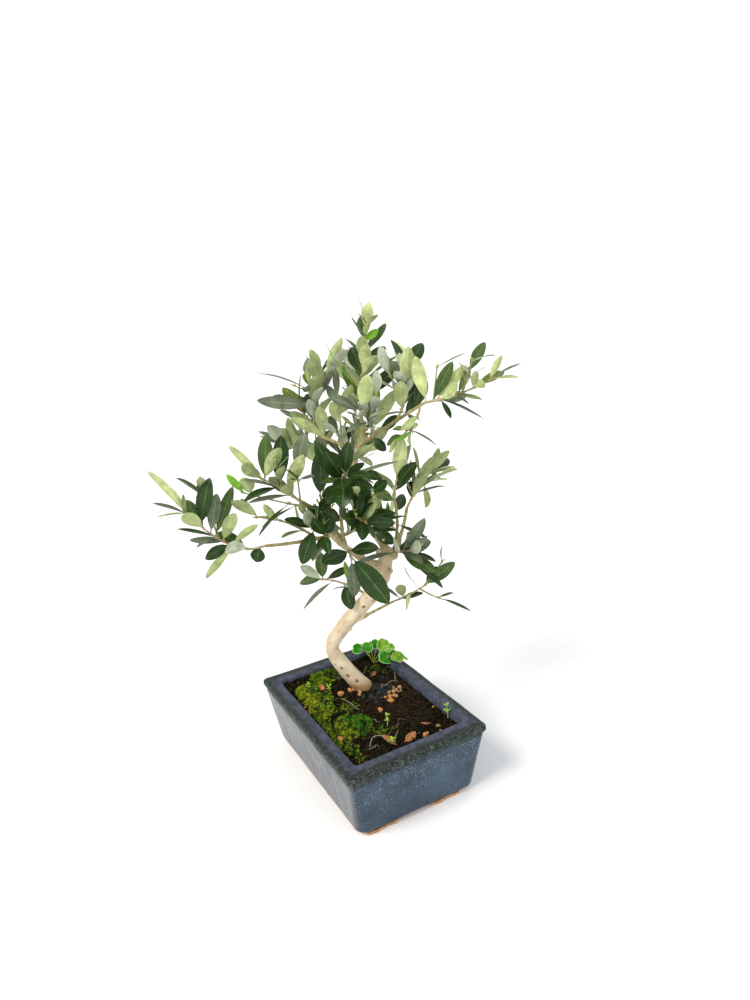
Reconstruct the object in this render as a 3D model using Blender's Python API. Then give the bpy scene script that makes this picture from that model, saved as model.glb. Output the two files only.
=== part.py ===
"""Olive bonsai in a low glazed pot.

The pot is a long rectangle that stands on four unglazed feet, filled with soil and cushions of moss.
The trunk bends once near its foot, and carries thin boughs that end in open masses of leaves.
Sizes are in millimetres, and +Z is up. The origin is the middle of the pot's underside; the pot's
short side faces -Y. Limbs and leaves are worked out in the tree's own frame, which is turned about Z
from the pot's by TREE_TURN, and whose -Y side is the tree's front.
"""

import math
import random
from collections import namedtuple

import bmesh
import bpy
import numpy as np

MM = 0.001
CLEAR = 0.3

# The pot: half sizes across X and Y of each level. The edges of the rim are bevelled: each pair is how far
# in from its side and how far down from its top
RIM_HALF = (52.5, 75.0)
RIM_TOP = 48.5
RIM_DEEP = 5.0
RIM_STEP = 0.9
RIM_CORNER = 3.0
RIM_TOP_BEVEL = ((0.0, 1.5), (0.5, 0.4), (1.5, 0.0))
RIM_LOW_BEVEL = (0.6, 0.8)
RIM_INNER_BEVEL = (0.9, 0.8)
HEAD_CORNER = 4.8
HEAD_SLOPE = (0.3, 3.0)
HEAD_GAP = 0.4
INNER_HALF = (41.5, 62.0)
INNER_CORNER = 2.5
FLOOR_HALF = (37.5, 58.0)
FLOOR_TOP = 7.0
WALL_FOOT_HALF = (45.8, 68.3)
WALL_CORNER = 8.0
FOOT_ROUND = 3.0
FOOT_BEVEL = (0.4, 0.25)
UNDERSIDE = -0.6
PANEL_HALF = (34.0, 40.0)
PANEL_DRAFT = 0.4
CORNER_STEPS = 4

# The feet, flush with the short walls
FOOT_HALF = (12.5, 10.0)
FOOT_HIGH = 2.3
FOOT_CORNER = 3.0
FOOT_TAPER = 0.8
FEET_X = (-28.0, 20.5)
FEET_Y = 57.0

# The soil and what grows on it
SOIL_TOP = 44.0
MOSS_TOP_SHARE = 0.3
MOSS_SIDES = 20
MOSS_RINGS = 5
MOSS_WAVE = 0.09

# A cushion: middle, half sizes, height and the turn of its wavy edge
Cushion = namedtuple("Cushion", "middle half high turn")
MOSS = {
    "moss_left": Cushion((-27.5, 27.0), (12.0, 25.0), 6.5, 0.4),
    "moss_front": Cushion((-20.0, -17.0), (13.0, 14.0), 5.5, 2.1),
    "moss_back": Cushion((-8.0, 51.0), (14.0, 8.5), 4.5, 1.2),
}

# The wild sprig in the back corner: where it stands, its stub, and the turn, rise and length of its leaves
SPRIG_AT = (33.0, 51.0)
SPRIG_STUB = 6.0
SPRIG_RADII = (1.6, 1.2)
SPRIG_LEAVES = (
    (100, 48, 16), (35, 40, 20), (-15, 42, 20), (-62, 46, 19), (150, 52, 15), (-110, 58, 17), (60, 70, 15),
)
SPRIG_WIDE_SHARE = 0.6
SPRIG_ROOTS = (0.3, 0.95)

# The tree's frame
TREE_TURN = math.radians(-27.97)
TRUNK_FOOT = (-2.0, 24.0, SOIL_TOP + CLEAR)
TRUNK_LINE = (
    (0, 0, 0), (-12, 0, 17), (-20.5, -1, 36), (-10.5, -3, 54),
    (12, -6, 79), (21, -7, 94), (25, -8, 112),
)
TRUNK_RADII = (6.5, 6.1, 5.1, 5.6, 5.7, 5.8, 4.4)
TRUNK_SPAN_STEPS = 4
TRUNK_SIDES = 12
FLARE = 0.9
FLARE_HIGH = 3.0
BOUGH_POINTS = 7
BOUGH_SIDES = 6
CUT_STEPS = 241
CUT_LAST = 0.6

# A bough: what it grows on and how far along that, its reach and bow, its first and last radius
Bough = namedtuple("Bough", "on at reach bow thick")
BOUGHS = {
    "bough_left": Bough("trunk", 0.89, (-34, -12, 33), (-1, -2, -1), (2.9, 1.9)),
    "bough_far_left": Bough("bough_left", 1.0, (-44, -11, 0), (0, 0, -1), (1.4, 1.1)),
    "bough_left_middle": Bough("bough_left", 0.75, (-24, -16, 38), (3, 0, 3), (1.6, 1.2)),
    "bough_front": Bough("bough_left", 0.70, (2, -22, 50), (-1, -3, 0), (1.4, 1.1)),
    "bough_leader": Bough("trunk", 1.0, (-16, 1, 75), (-7, 4, 0), (2.6, 1.9)),
    "bough_upper_left": Bough("bough_leader", 0.96, (-24, 6, 13), (0, 0, 1), (1.4, 1.1)),
    "bough_right_top": Bough("bough_leader", 1.0, (47, -20, 31), (-1, 0, 0), (1.6, 1.0)),
    "bough_apex": Bough("bough_right_top", 0.17, (0, 4, 28), (-2, 0, 0), (1.3, 1.0)),
    "bough_right_inner": Bough("trunk", 0.80, (15, -1, 66), (7, 0, -1), (1.4, 1.0)),
    "bough_low_right": Bough("trunk", 0.465, (38, -10, 22), (0, 0, 0), (1.3, 0.9)),
    "bough_back_left": Bough("bough_leader", 0.35, (-24, 34, 26), (-2, 2, 4), (1.6, 1.1)),
    "bough_back_right": Bough("trunk", 0.92, (20, 36, 30), (2, 3, -4), (1.8, 1.2)),
    "bough_back_top": Bough("bough_leader", 0.84, (2, 32, 26), (0, 3, -3), (1.5, 1.1)),
}

# A mass: the bough it grows on and how far along that, its stem's reach and bow, the leaf pairs on the
# stem, the leaf length, the side twigs, the turn of the first pair, the seed, and the leaves that show
# plainest: how far along the stem, the reach, the width, and where the upper face looks
Mass = namedtuple("Mass", "on at reach bow pairs leaf twigs roll seed main")
Leaf = namedtuple("Leaf", "at reach wide looks")
LOOKS = {
    "front": (0.0, -1.0, 0.3), "back": (0.0, 1.0, 0.4), "up": (0.0, -0.2, 1.0),
    "left": (-1.0, -0.4, 0.3), "right": (1.0, -0.4, 0.3),
}
MASSES = {
    "foliage_far_left": Mass("bough_far_left", 1.0, (-46, -15, 32), (1, 1, -11), 4, 24, 1, 20, 22, (
        Leaf(0.77, (8, 4, 31), 11, "front"), Leaf(0.98, (-10, -10, 24), 6, "back"),
        Leaf(0.58, (15, 8, 30), 8, "front"), Leaf(0.36, (-19, -6, -20), 6, "back"),
        Leaf(0.40, (-15, -10, -5), 8, "front"), Leaf(0.06, (-3, -6, -8), 10, "front"),
        Leaf(0.99, (-17, -6, 32), 6, "back"), Leaf(0.95, (-20, -3, 12), 4, "up"),
        Leaf(1.00, (-4, 0, 10), 3, "left"), Leaf(0.73, (14, -4, 20), 6, "left"),
        Leaf(0.64, (7, 5, 25), 9, "front"), Leaf(0.48, (11, -5, 21), 9, "back"),
        Leaf(0.45, (17, 5, 16), 3, "up"), Leaf(0.37, (19, -5, 15), 6, "back"),
        Leaf(0.64, (-16, -5, 13), 5, "back"), Leaf(0.55, (-23, -7, 10), 5, "up"),
        Leaf(0.58, (-11, -8, -4), 4, "up"))),
    "foliage_left_shoot": Mass("bough_far_left", 0.22, (-38, -11, 22), (0, 0, 4), 3, 19, 0, 60, 12, (
        Leaf(0.97, (-14, -6, 15), 9, "back"),)),
    "foliage_left_tip": Mass("bough_left_middle", 1.0, (-22, -10, 20), (0, 0, 1), 3, 25, 1, 10, 24, (
        Leaf(0.97, (-18, -4, 24), 6, "back"), Leaf(0.92, (4, 6, 27), 10, "front"),
        Leaf(0.55, (3, 12, 32), 11, "front"), Leaf(0.38, (14, -6, 25), 9, "back"),
        Leaf(0.22, (-26, -16, 2), 7, "up"), Leaf(0.93, (13, -7, 22), 9, "back"),
        Leaf(0.98, (-16, 6, 11), 5, "up"), Leaf(0.49, (-22, -12, 11), 7, "up"),
        Leaf(0.28, (-5, -3, 28), 8, "front"))),
    "foliage_left_under": Mass("bough_left_middle", 0.12, (-14, -14, 8), (0, 0, -2), 2, 25, 1, 80, 4, (
        Leaf(0.90, (-9, -13, -19), 11, "front"), Leaf(0.20, (-12, -8, 20), 9, "front"),
        Leaf(0.36, (-12, -6, 23), 8, "front"), Leaf(0.10, (-13, -10, 32), 6, "left"))),
    "foliage_front": Mass("bough_front", 1.0, (4, -14, 10), (0, 0, 1), 3, 26, 1, 30, 3, (
        Leaf(0.60, (-9, -14, 20), 13, "front"), Leaf(0.10, (-13, -6, 29), 11, "front"),
        Leaf(0.95, (-3, -14, -17), 13, "front"), Leaf(0.76, (-11, -8, 25), 15, "front"),
        Leaf(0.38, (36, -8, 11), 6, "up"), Leaf(0.21, (-10, -10, -10), 10, "front"))),
    "foliage_front_low": Mass("bough_front", 0.45, (16, -22, 4), (0, 0, 3), 5, 26, 1, 0, 11, ()),
    "foliage_upper_left": Mass("bough_upper_left", 1.0, (10, 2, 42), (-6, 0, -2), 4, 26, 1, 45, 6, (
        Leaf(0.43, (3, -12, 23), 10, "back"), Leaf(0.92, (12, 6, 25), 7, "back"),
        Leaf(0.47, (-38, -8, 6), 9, "front"), Leaf(0.80, (9, 5, 21), 9, "front"),
        Leaf(0.52, (13, 8, 22), 6, "front"))),
    "foliage_upper_far": Mass("bough_upper_left", 0.66, (-19, 9, 22), (0, 4, -4), 4, 28, 1, 0, 13, ()),
    "foliage_apex": Mass("bough_apex", 1.0, (6, -2, 48), (-1, 0, 1), 5, 23, 1, 15, 27, (
        Leaf(0.93, (3, 4, 17), 8, "back"), Leaf(0.86, (-8, -5, 12), 5, "left"),
        Leaf(0.77, (9, -5, 8), 5, "front"), Leaf(0.53, (0, -7, 16), 8, "back"),
        Leaf(0.31, (10, -9, 14), 9, "back"), Leaf(0.03, (25, -5, 17), 9, "front"),
        Leaf(0.06, (-18, -14, -8), 9, "back"), Leaf(0.09, (-23, -8, 34), 5, "left"),
        Leaf(0.33, (-6, 5, 18), 11, "front"), Leaf(0.20, (26, 6, 18), 5, "up"),
        Leaf(0.44, (16, 5, 11), 8, "front"))),
    "foliage_crown_front": Mass("bough_right_top", 0.3, (-8, -18, 20), (0, -2, 3), 4, 25, 1, 70, 26, (
        Leaf(0.88, (4, -5, 25), 10, "back"), Leaf(0.12, (16, -6, 27), 9, "back"),
        Leaf(0.29, (-15, -8, 12), 7, "up"), Leaf(0.09, (14, 4, 15), 10, "front"))),
    "foliage_crown_right": Mass("bough_right_top", 0.62, (9, 2, 34), (2, 0, -2), 5, 25, 1, 35, 4, (
        Leaf(0.12, (-1, -10, 20), 10, "back"), Leaf(0.45, (4, -8, 31), 10, "back"),
        Leaf(0.85, (-5, 8, 20), 8, "back"), Leaf(0.97, (11, 5, 15), 9, "front"),
        Leaf(0.69, (-9, 4, 14), 8, "front"), Leaf(0.32, (11, 8, 19), 9, "front"))),
    "foliage_right_tip": Mass("bough_right_top", 1.0, (42, -14, 14), (0, 0, -2), 4, 21, 1, 5, 15, (
        Leaf(0.16, (20, 4, 21), 8, "back"), Leaf(0.94, (8, -4, 15), 5, "back"),
        Leaf(0.98, (17, -4, 9), 4, "up"), Leaf(0.22, (27, -2, -14), 6, "up"),
        Leaf(0.02, (-6, -4, 30), 9, "back"), Leaf(0.12, (13, 3, 24), 8, "front"),
        Leaf(0.08, (2, 9, 22), 9, "front"), Leaf(0.91, (6, -2, 21), 2.5, "left"),
        Leaf(0.70, (2, -3, 11), 5, "back"), Leaf(0.77, (6, 3, 8), 5, "front"),
        Leaf(0.98, (11, -3, 13), 6, "back"), Leaf(0.22, (6, -4, -12), 5, "up"),
        Leaf(0.44, (8, -4, -6), 4, "up"))),
    "foliage_right_side": Mass("bough_right_top", 0.93, (-12, 6, -20), (4, 0, 2), 3, 19, 0, 25, 18, (
        Leaf(0.72, (18, -3, -11), 4, "up"),)),
    "foliage_right_inner": Mass("bough_right_inner", 1.0, (3, -4, 12), (0, 0, 0), 2, 26, 0, 0, 21, (
        Leaf(0.55, (14, -7, 18), 9, "front"), Leaf(0.89, (6, -5, 30), 10, "back"))),
    "foliage_low_centre": Mass("trunk", 0.955, (16, -10, 8), (0, 0, 2), 3, 30, 0, 10, 6, (
        Leaf(0.30, (-32, -16, 0), 7, "up"), Leaf(0.60, (26, -18, -22), 8, "up"),
        Leaf(0.92, (19, -8, -6), 6, "up"))),
    "foliage_trunk_front": Mass("bough_left", 0.62, (2, -13, -2), (0, 0, 1), 1, 28, 0, 0, 14, (
        Leaf(0.75, (21, -8, -26), 13, "front"), Leaf(0.28, (16, -14, -24), 14, "front"),
        Leaf(0.95, (1, 4, -31), 10, "front"))),
    "foliage_low_left": Mass("trunk", 0.71, (-34, 6, 14), (0, 0, 3), 2, 24, 0, 50, 15, (
        Leaf(0.97, (1, -6, 23), 9, "front"), Leaf(0.90, (17, 4, 7), 6, "front"),
        Leaf(0.72, (-24, -6, -17), 6, "up"), Leaf(0.45, (3, -12, -15), 10, "front"),
        Leaf(0.21, (-4, -5, -17), 3.5, "left"))),
    "foliage_low_right": Mass("bough_low_right", 1.0, (24, -6, 14), (0, 0, -1), 2, 19, 0, 65, 23, (
        Leaf(0.97, (21, -4, 17), 9, "front"), Leaf(0.80, (-11, -6, 20), 4, "left"),
        Leaf(0.70, (24, -8, -7), 5, "up"), Leaf(0.55, (-6, -13, -6), 9, "back"),
        Leaf(0.29, (-2, -4, 12), 8, "back"))),
    "foliage_back_left": Mass("bough_back_left", 1.0, (-26, 22, 20), (0, 2, 3), 7, 27, 2, 0, 7, ()),
    "foliage_back_right": Mass("bough_back_right", 1.0, (24, 22, 22), (0, 2, 3), 7, 27, 2, 40, 14, ()),
    "foliage_back_top": Mass("bough_back_top", 1.0, (4, 22, 34), (0, 4, 0), 8, 27, 2, 20, 28, ()),
    "foliage_back_low": Mass("bough_back_right", 0.5, (-18, 30, 6), (0, 0, 4), 6, 27, 1, 75, 26, ()),
    "foliage_back_centre": Mass("bough_back_left", 0.6, (14, 26, 30), (0, 3, 2), 7, 27, 2, 55, 28, ()),
}

# Stems and twigs: their number of points and sides, radii, and how far they keep from what is there
STEM_POINTS = 6
STEM_RADIUS = 1.1
STEM_SHARE = 0.8
STEM_TIP_RADIUS = 0.5
TWIG_POINTS = 4
TWIG_RADIUS = 0.7
TWIG_SIDES = 3
TWIG_CORNER = 1.35
TWIG_GAP = 1.2
TWIG_TRIES = 6
TWIG_SPREAD = (38, 56)
TWIG_TURN = 50
TWIG_RISE = 0.2
TWIG_SAG = 0.05
TWIG_LEAST = 6.0
TWIG_LONG_SHARE = (0.35, 0.55)
TWIGS_FROM = 0.25
TWIGS_OVER = 0.5
GOLDEN_ANGLE = 137.5

# Leaves: gap to their neighbours, the stalk that is left out of that test, where the rim has its points
# and how wide it is there, where the leaf is thickest, the step between two opposite leaves, and how a
# new leaf may stand
LEAF_GAP = 0.35
PETIOLE = 0.16
LEAF_RIM = ((0.3, 0.9), (0.7, 0.88))
LEAF_THICK = 0.5
LEAF_MIDDLE = 0.4
PAIR_APART = 1.0
ROOT_SUNK = 0.5
LEAF_TRIES = 5
LEAF_TRY_SHARE = 0.92
LEAF_TRY_SWAY = 0.4
LEAF_TURN = 14
LEAF_SPREAD = (38, 56)
LEAF_CLOSING = 16.0
LEAF_RISE = 0.18
LEAF_WIDE_SHARE = (0.31, 0.43)
LEAF_ARCH = 0.07
LEAF_FOLD = (0.05, 0.3)
MAIN_ARCH = 0.04
MAIN_FOLD = 0.15
MASS_SPACE = 1.1
WOOD_GAP = 0.4
FIRST_PAIR = 0.2
FIRST_TWIG_PAIR = 0.35
PAIR_STEP = 8.0
LEAF_OUTLINE = (0, 2, 4, 5, 3, 1)
LEAF_FACES = np.array([
    (6, LEAF_OUTLINE[k], LEAF_OUTLINE[(k + 1) % 6]) for k in range(6)
] + [
    (7, LEAF_OUTLINE[(k + 1) % 6], LEAF_OUTLINE[k]) for k in range(6)
])
LEAF_EDGES = np.array(sorted({
    tuple(sorted((face[k], face[(k + 1) % 3]))) for face in LEAF_FACES for k in range(3)
}))

# Colour, roughness of each material
LOOK_OF = {
    "glaze": ((0.20, 0.24, 0.27), 0.3),
    "clay": ((0.48, 0.28, 0.13), 0.9),
    "soil": ((0.045, 0.028, 0.018), 0.95),
    "moss": ((0.22, 0.30, 0.03), 0.95),
    "sprig": ((0.10, 0.32, 0.03), 0.5),
    "bark": ((0.50, 0.40, 0.27), 0.8),
    "leaves": ((0.07, 0.13, 0.05), 0.35),
}


def clear_scene():
    for thing in list(bpy.data.objects):
        bpy.data.objects.remove(thing, do_unlink=True)


def make_material(name, look):
    colour, roughness = LOOK_OF[look]
    material = bpy.data.materials.new(name)
    material.use_nodes = True
    shader = material.node_tree.nodes["Principled BSDF"]
    shader.inputs["Base Color"].default_value = (*colour, 1.0)
    shader.inputs["Roughness"].default_value = roughness
    shader.inputs["Metallic"].default_value = 0.0
    return material


def make_object(name, points, faces, look, turn=0.0, smooth=35.0):
    """An object from points in millimetres, turned about Z where it belongs to the tree."""
    mesh = bpy.data.meshes.new(name)
    mesh.from_pydata([tuple(MM * value for value in point) for point in points], [], faces)
    mesh.materials.append(make_material(name, look))
    mesh.shade_smooth()
    mesh.set_sharp_from_angle(angle=math.radians(smooth))
    thing = bpy.data.objects.new(name, mesh)
    thing.rotation_euler = (0.0, 0.0, turn)
    bpy.context.collection.objects.link(thing)
    return thing


def rounded_rectangle(half, corner, z):
    """Points round a rectangle with arcs for corners, anticlockwise from the middle of the right side."""
    points = []
    for turn, (sx, sy) in enumerate(((1, 1), (-1, 1), (-1, -1), (1, -1))):
        for step in range(CORNER_STEPS + 1):
            angle = 0.5 * math.pi * (turn + step / CORNER_STEPS)
            points.append((
                sx * (half[0] - corner) + corner * math.cos(angle),
                sy * (half[1] - corner) + corner * math.sin(angle), z,
            ))
    return points


def loft(rings):
    """Points and faces of the closed skin through the rings, which all have the same number of points."""
    count = len(rings[0])
    points = [point for ring in rings for point in ring]
    faces = [tuple(reversed(range(count)))]
    for low in range(0, count * (len(rings) - 1), count):
        for k in range(count):
            after = (k + 1) % count
            faces.append((low + k, low + after, low + count + after, low + count + k))
    faces.append(tuple(range(count * (len(rings) - 1), count * len(rings))))
    return points, faces


def spread(half, by):
    return half[0] + by, half[1] + by


def build_pot():
    """From the recessed panel underneath, out and up the wall, over the rim and down to the floor inside."""
    rim_low = RIM_TOP - RIM_DEEP
    wall_head = spread(RIM_HALF, -RIM_STEP)
    bevel_in, bevel_up = (share * FOOT_ROUND for share in FOOT_BEVEL)
    levels = [
        (PANEL_HALF, RIM_CORNER, 0.0),
        (spread(PANEL_HALF, PANEL_DRAFT), RIM_CORNER, UNDERSIDE),
        (spread(WALL_FOOT_HALF, -FOOT_ROUND), WALL_CORNER - FOOT_ROUND, UNDERSIDE),
        (spread(WALL_FOOT_HALF, -bevel_in), WALL_CORNER - bevel_in, UNDERSIDE + bevel_up),
        (WALL_FOOT_HALF, WALL_CORNER, UNDERSIDE + FOOT_ROUND),
        (spread(wall_head, -HEAD_SLOPE[0]), HEAD_CORNER, rim_low - HEAD_SLOPE[1]),
        (wall_head, HEAD_CORNER, rim_low - HEAD_GAP),
        (spread(RIM_HALF, -RIM_LOW_BEVEL[0]), RIM_CORNER, rim_low),
        (RIM_HALF, RIM_CORNER, rim_low + RIM_LOW_BEVEL[1]),
    ]
    levels += [(spread(RIM_HALF, -inset), RIM_CORNER, RIM_TOP - down) for inset, down in RIM_TOP_BEVEL]
    levels += [
        (spread(INNER_HALF, RIM_INNER_BEVEL[0]), INNER_CORNER, RIM_TOP),
        (INNER_HALF, INNER_CORNER, RIM_TOP - RIM_INNER_BEVEL[1]),
        (FLOOR_HALF, INNER_CORNER, FLOOR_TOP),
    ]
    points, faces = loft([rounded_rectangle(*level) for level in levels])
    return make_object("pot", points, faces, "glaze")


def build_feet():
    top = UNDERSIDE - CLEAR
    for end, y in (("front", -FEET_Y), ("back", FEET_Y)):
        for side, x in zip(("left", "right"), FEET_X):
            rings = [
                rounded_rectangle(spread(FOOT_HALF, -FOOT_TAPER), FOOT_CORNER, top - FOOT_HIGH),
                rounded_rectangle(FOOT_HALF, FOOT_CORNER, top),
            ]
            foot = make_object(f"foot_{end}_{side}", *loft(rings), "clay")
            foot.location = (MM * x, MM * y, 0.0)


def build_soil():
    """A block that fills the pot, flat on top."""
    share = (SOIL_TOP - FLOOR_TOP) / (RIM_TOP - RIM_INNER_BEVEL[1] - FLOOR_TOP)
    top_half = tuple(low + share * (high - low) for low, high in zip(FLOOR_HALF, INNER_HALF))
    rings = [
        rounded_rectangle(spread(FLOOR_HALF, -CLEAR), INNER_CORNER, FLOOR_TOP + CLEAR),
        rounded_rectangle(spread(top_half, -CLEAR), INNER_CORNER, SOIL_TOP),
    ]
    make_object("soil", *loft(rings), "soil")


def build_moss():
    """Low domes with a wavy edge and a flat underside."""
    for name, cushion in MOSS.items():
        rings = []
        for k in range(MOSS_RINGS):
            rise = 0.5 * math.pi * k / (MOSS_RINGS - 1)
            share = MOSS_TOP_SHARE + (1.0 - MOSS_TOP_SHARE) * math.cos(rise)
            ring = []
            for side in range(MOSS_SIDES):
                angle = 2.0 * math.pi * side / MOSS_SIDES
                wave = 1.0 + MOSS_WAVE * math.sin(3.0 * angle + cushion.turn)
                ring.append((
                    cushion.middle[0] + share * wave * cushion.half[0] * math.cos(angle),
                    cushion.middle[1] + share * wave * cushion.half[1] * math.sin(angle),
                    SOIL_TOP + CLEAR + cushion.high * math.sin(rise),
                ))
            rings.append(ring)
        make_object(name, *loft(rings), "moss", smooth=60.0)


def unit(vector):
    return vector / np.linalg.norm(vector)


def arch(start, reach, bow, count):
    """Points of a limb that ends a reach away from its start, bowed at its middle."""
    t = np.linspace(0.0, 1.0, count)[:, None]
    return np.array(start, float) + np.array(reach, float) * t + 4.0 * np.array(bow, float) * t * (1.0 - t)


def smooth_line(points, per_span):
    """Catmull-Rom curve through the points."""
    knots = np.array(points, float)
    knots = np.vstack([2 * knots[0] - knots[1], knots, 2 * knots[-1] - knots[-2]])
    line = []
    for i in range(1, len(knots) - 2):
        a, b, c, d = knots[i - 1:i + 3]
        for k in range(per_span):
            t = k / per_span
            line.append(0.5 * (2 * b + (c - a) * t + (2 * a - 5 * b + 4 * c - d) * t ** 2
                               + (3 * b - a - 3 * c + d) * t ** 3))
    line.append(knots[-2])
    return np.array(line)


class Limb:
    """A tapering tube: its centre line, the radius at each of its points, and the way its foot faces."""

    def __init__(self, path, radii, foot_way=None):
        self.path = np.array(path)
        self.radii = np.array(radii, float)
        self.foot_way = self.path[1] - self.path[0] if foot_way is None else np.array(foot_way, float)
        steps = np.linalg.norm(np.diff(self.path, axis=0), axis=1)
        self.run = np.concatenate([[0.0], np.cumsum(steps)])
        self.length = self.run[-1]

    def point(self, at):
        return np.array([np.interp(at * self.length, self.run, self.path[:, k]) for k in range(3)])

    def radius(self, at):
        return float(np.interp(at * self.length, self.run, self.radii))

    def along(self, at):
        return unit(self.point(min(1.0, at + 0.03)) - self.point(max(0.0, at - 0.03)))

    def parts(self, corner=1.0):
        """One row for each straight part: its two ends and its two radii, out to its corners."""
        radii = corner * self.radii
        return np.column_stack([self.path[:-1], self.path[1:], radii[:-1], radii[1:]])


def gap_to(points, parts):
    """Shortest way from each point to the surface of any of the tube parts."""
    a, b, ra, rb = parts[:, :3], parts[:, 3:6], parts[:, 6], parts[:, 7]
    ab = b - a
    t = np.clip(((points[:, None] - a) * ab).sum(-1) / (ab * ab).sum(-1), 0.0, 1.0)
    near = a + t[..., None] * ab
    return (np.linalg.norm(points[:, None] - near, axis=-1) - ra - t * (rb - ra)).min(axis=1)


def gap_to_limb(points, limb):
    """Shortest way from each point to the limb, whose tip is cut flat."""
    way = unit(limb.path[-1] - limb.path[-2])
    past = (points - limb.path[-1]) @ way
    across = np.linalg.norm(points - limb.path[-1] - past[:, None] * way, axis=1) - limb.radii[-1]
    return np.where(past > 0.0, np.hypot(past, np.maximum(across, 0.0)), gap_to(points, limb.parts()))


def cut_clear(limb, parent):
    """The limb without its first stretch inside its parent, so that its end face stands clear of it."""
    turns = np.linspace(0.0, 2.0 * math.pi, 12, endpoint=False)[:, None]
    for at in np.linspace(0.0, CUT_LAST, CUT_STEPS):
        along = limb.along(at)
        side = unit(np.cross(along, (0.3, 0.5, 0.8)))
        up = np.cross(along, side)
        ring = limb.radius(at) * (np.cos(turns) * side + np.sin(turns) * up)
        disc = limb.point(at) + np.vstack([ring, 0.5 * ring, 0.0 * ring[:1]])
        if gap_to_limb(disc, parent).min() > CLEAR:
            break
    keep = limb.run / limb.length > at + 0.03
    path = np.vstack([limb.point(at), limb.path[keep]])
    return Limb(path, np.concatenate([[limb.radius(at)], limb.radii[keep]]))


def grow_on(parent, at, reach, bow, radii, count):
    """A limb that leaves its parent part of the way along it, or goes on from its tip."""
    limb = Limb(arch(parent.point(at), reach, bow, count), np.linspace(radii[0], radii[1], count))
    if at < 1.0:
        return cut_clear(limb, parent)
    foot_way = unit(parent.path[-1] - parent.path[-2])
    path = limb.path.copy()
    path[0] += CLEAR * foot_way
    return Limb(path, limb.radii, foot_way)


def grow_limbs():
    """The trunk, with a flare at its foot, and the boughs in the order that they leave each other."""
    line = smooth_line(TRUNK_LINE, TRUNK_SPAN_STEPS) + np.array(TRUNK_FOOT)
    spans = np.linspace(0, len(TRUNK_RADII) - 1, len(line))
    radii = np.interp(spans, range(len(TRUNK_RADII)), TRUNK_RADII)
    radii += FLARE * np.exp((line[0, 2] - line[:, 2]) / FLARE_HIGH)
    limbs = {"trunk": Limb(line, radii, foot_way=(0.0, 0.0, 1.0))}
    for name, bough in BOUGHS.items():
        limbs[name] = grow_on(limbs[bough.on], bough.at, bough.reach, bough.bow, bough.thick, BOUGH_POINTS)
    return limbs


Blade = namedtuple("Blade", "base axis face length wide arching fold")


def make_blade(limb, at, axis, face, length, wide, arching, fold):
    """A leaf whose root is sunk past the middle of its twig."""
    axis = unit(np.array(axis, float))
    face = np.array(face, float)
    face = unit(face - axis * (face @ axis))
    sunk = ROOT_SUNK * limb.radius(at)
    return Blade(limb.point(at) - sunk * axis, axis, face, length + sunk, wide, arching, fold)


def leaf_corners(blade, grow=0.0, root_at=0.0):
    """The root, two rim points a side, the tip, and the middle above and below."""
    side = np.cross(blade.axis, blade.face)
    half = 0.5 * blade.wide + grow

    def at(t, across, lift):
        arching = 4.0 * blade.arching * blade.length * t * (1.0 - t)
        return blade.base + blade.axis * blade.length * t + side * across + blade.face * (arching + lift)

    rim = []
    for t, share in LEAF_RIM:
        edge = share * half
        rim += [at(t, -edge, blade.fold * edge), at(t, edge, blade.fold * edge)]
    thick = 0.5 * LEAF_THICK + grow
    return np.array([
        at(root_at, 0.0, 0.0), *rim, at(1.0 + grow / blade.length, 0.0, 0.0),
        at(LEAF_MIDDLE, 0.0, thick), at(LEAF_MIDDLE, 0.0, -thick),
    ])


def crossing(starts, ends, corners):
    """Whether any of the segments passes through any of the triangles."""
    a, b, c = corners[:, 0], corners[:, 1], corners[:, 2]
    e1, e2 = b - a, c - a
    way = (ends - starts)[:, None]
    h = np.cross(way, e2)
    det = (e1 * h).sum(-1)
    inverse = 1.0 / np.where(np.abs(det) > 1e-12, det, np.inf)
    s = starts[:, None] - a
    u = inverse * (s * h).sum(-1)
    q = np.cross(s, e1)
    v = inverse * (way * q).sum(-1)
    t = inverse * (e2 * q).sum(-1)
    return bool(((det != 0) & (u > 0) & (v > 0) & (u + v < 1) & (t > 0) & (t < 1)).any())


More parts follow.
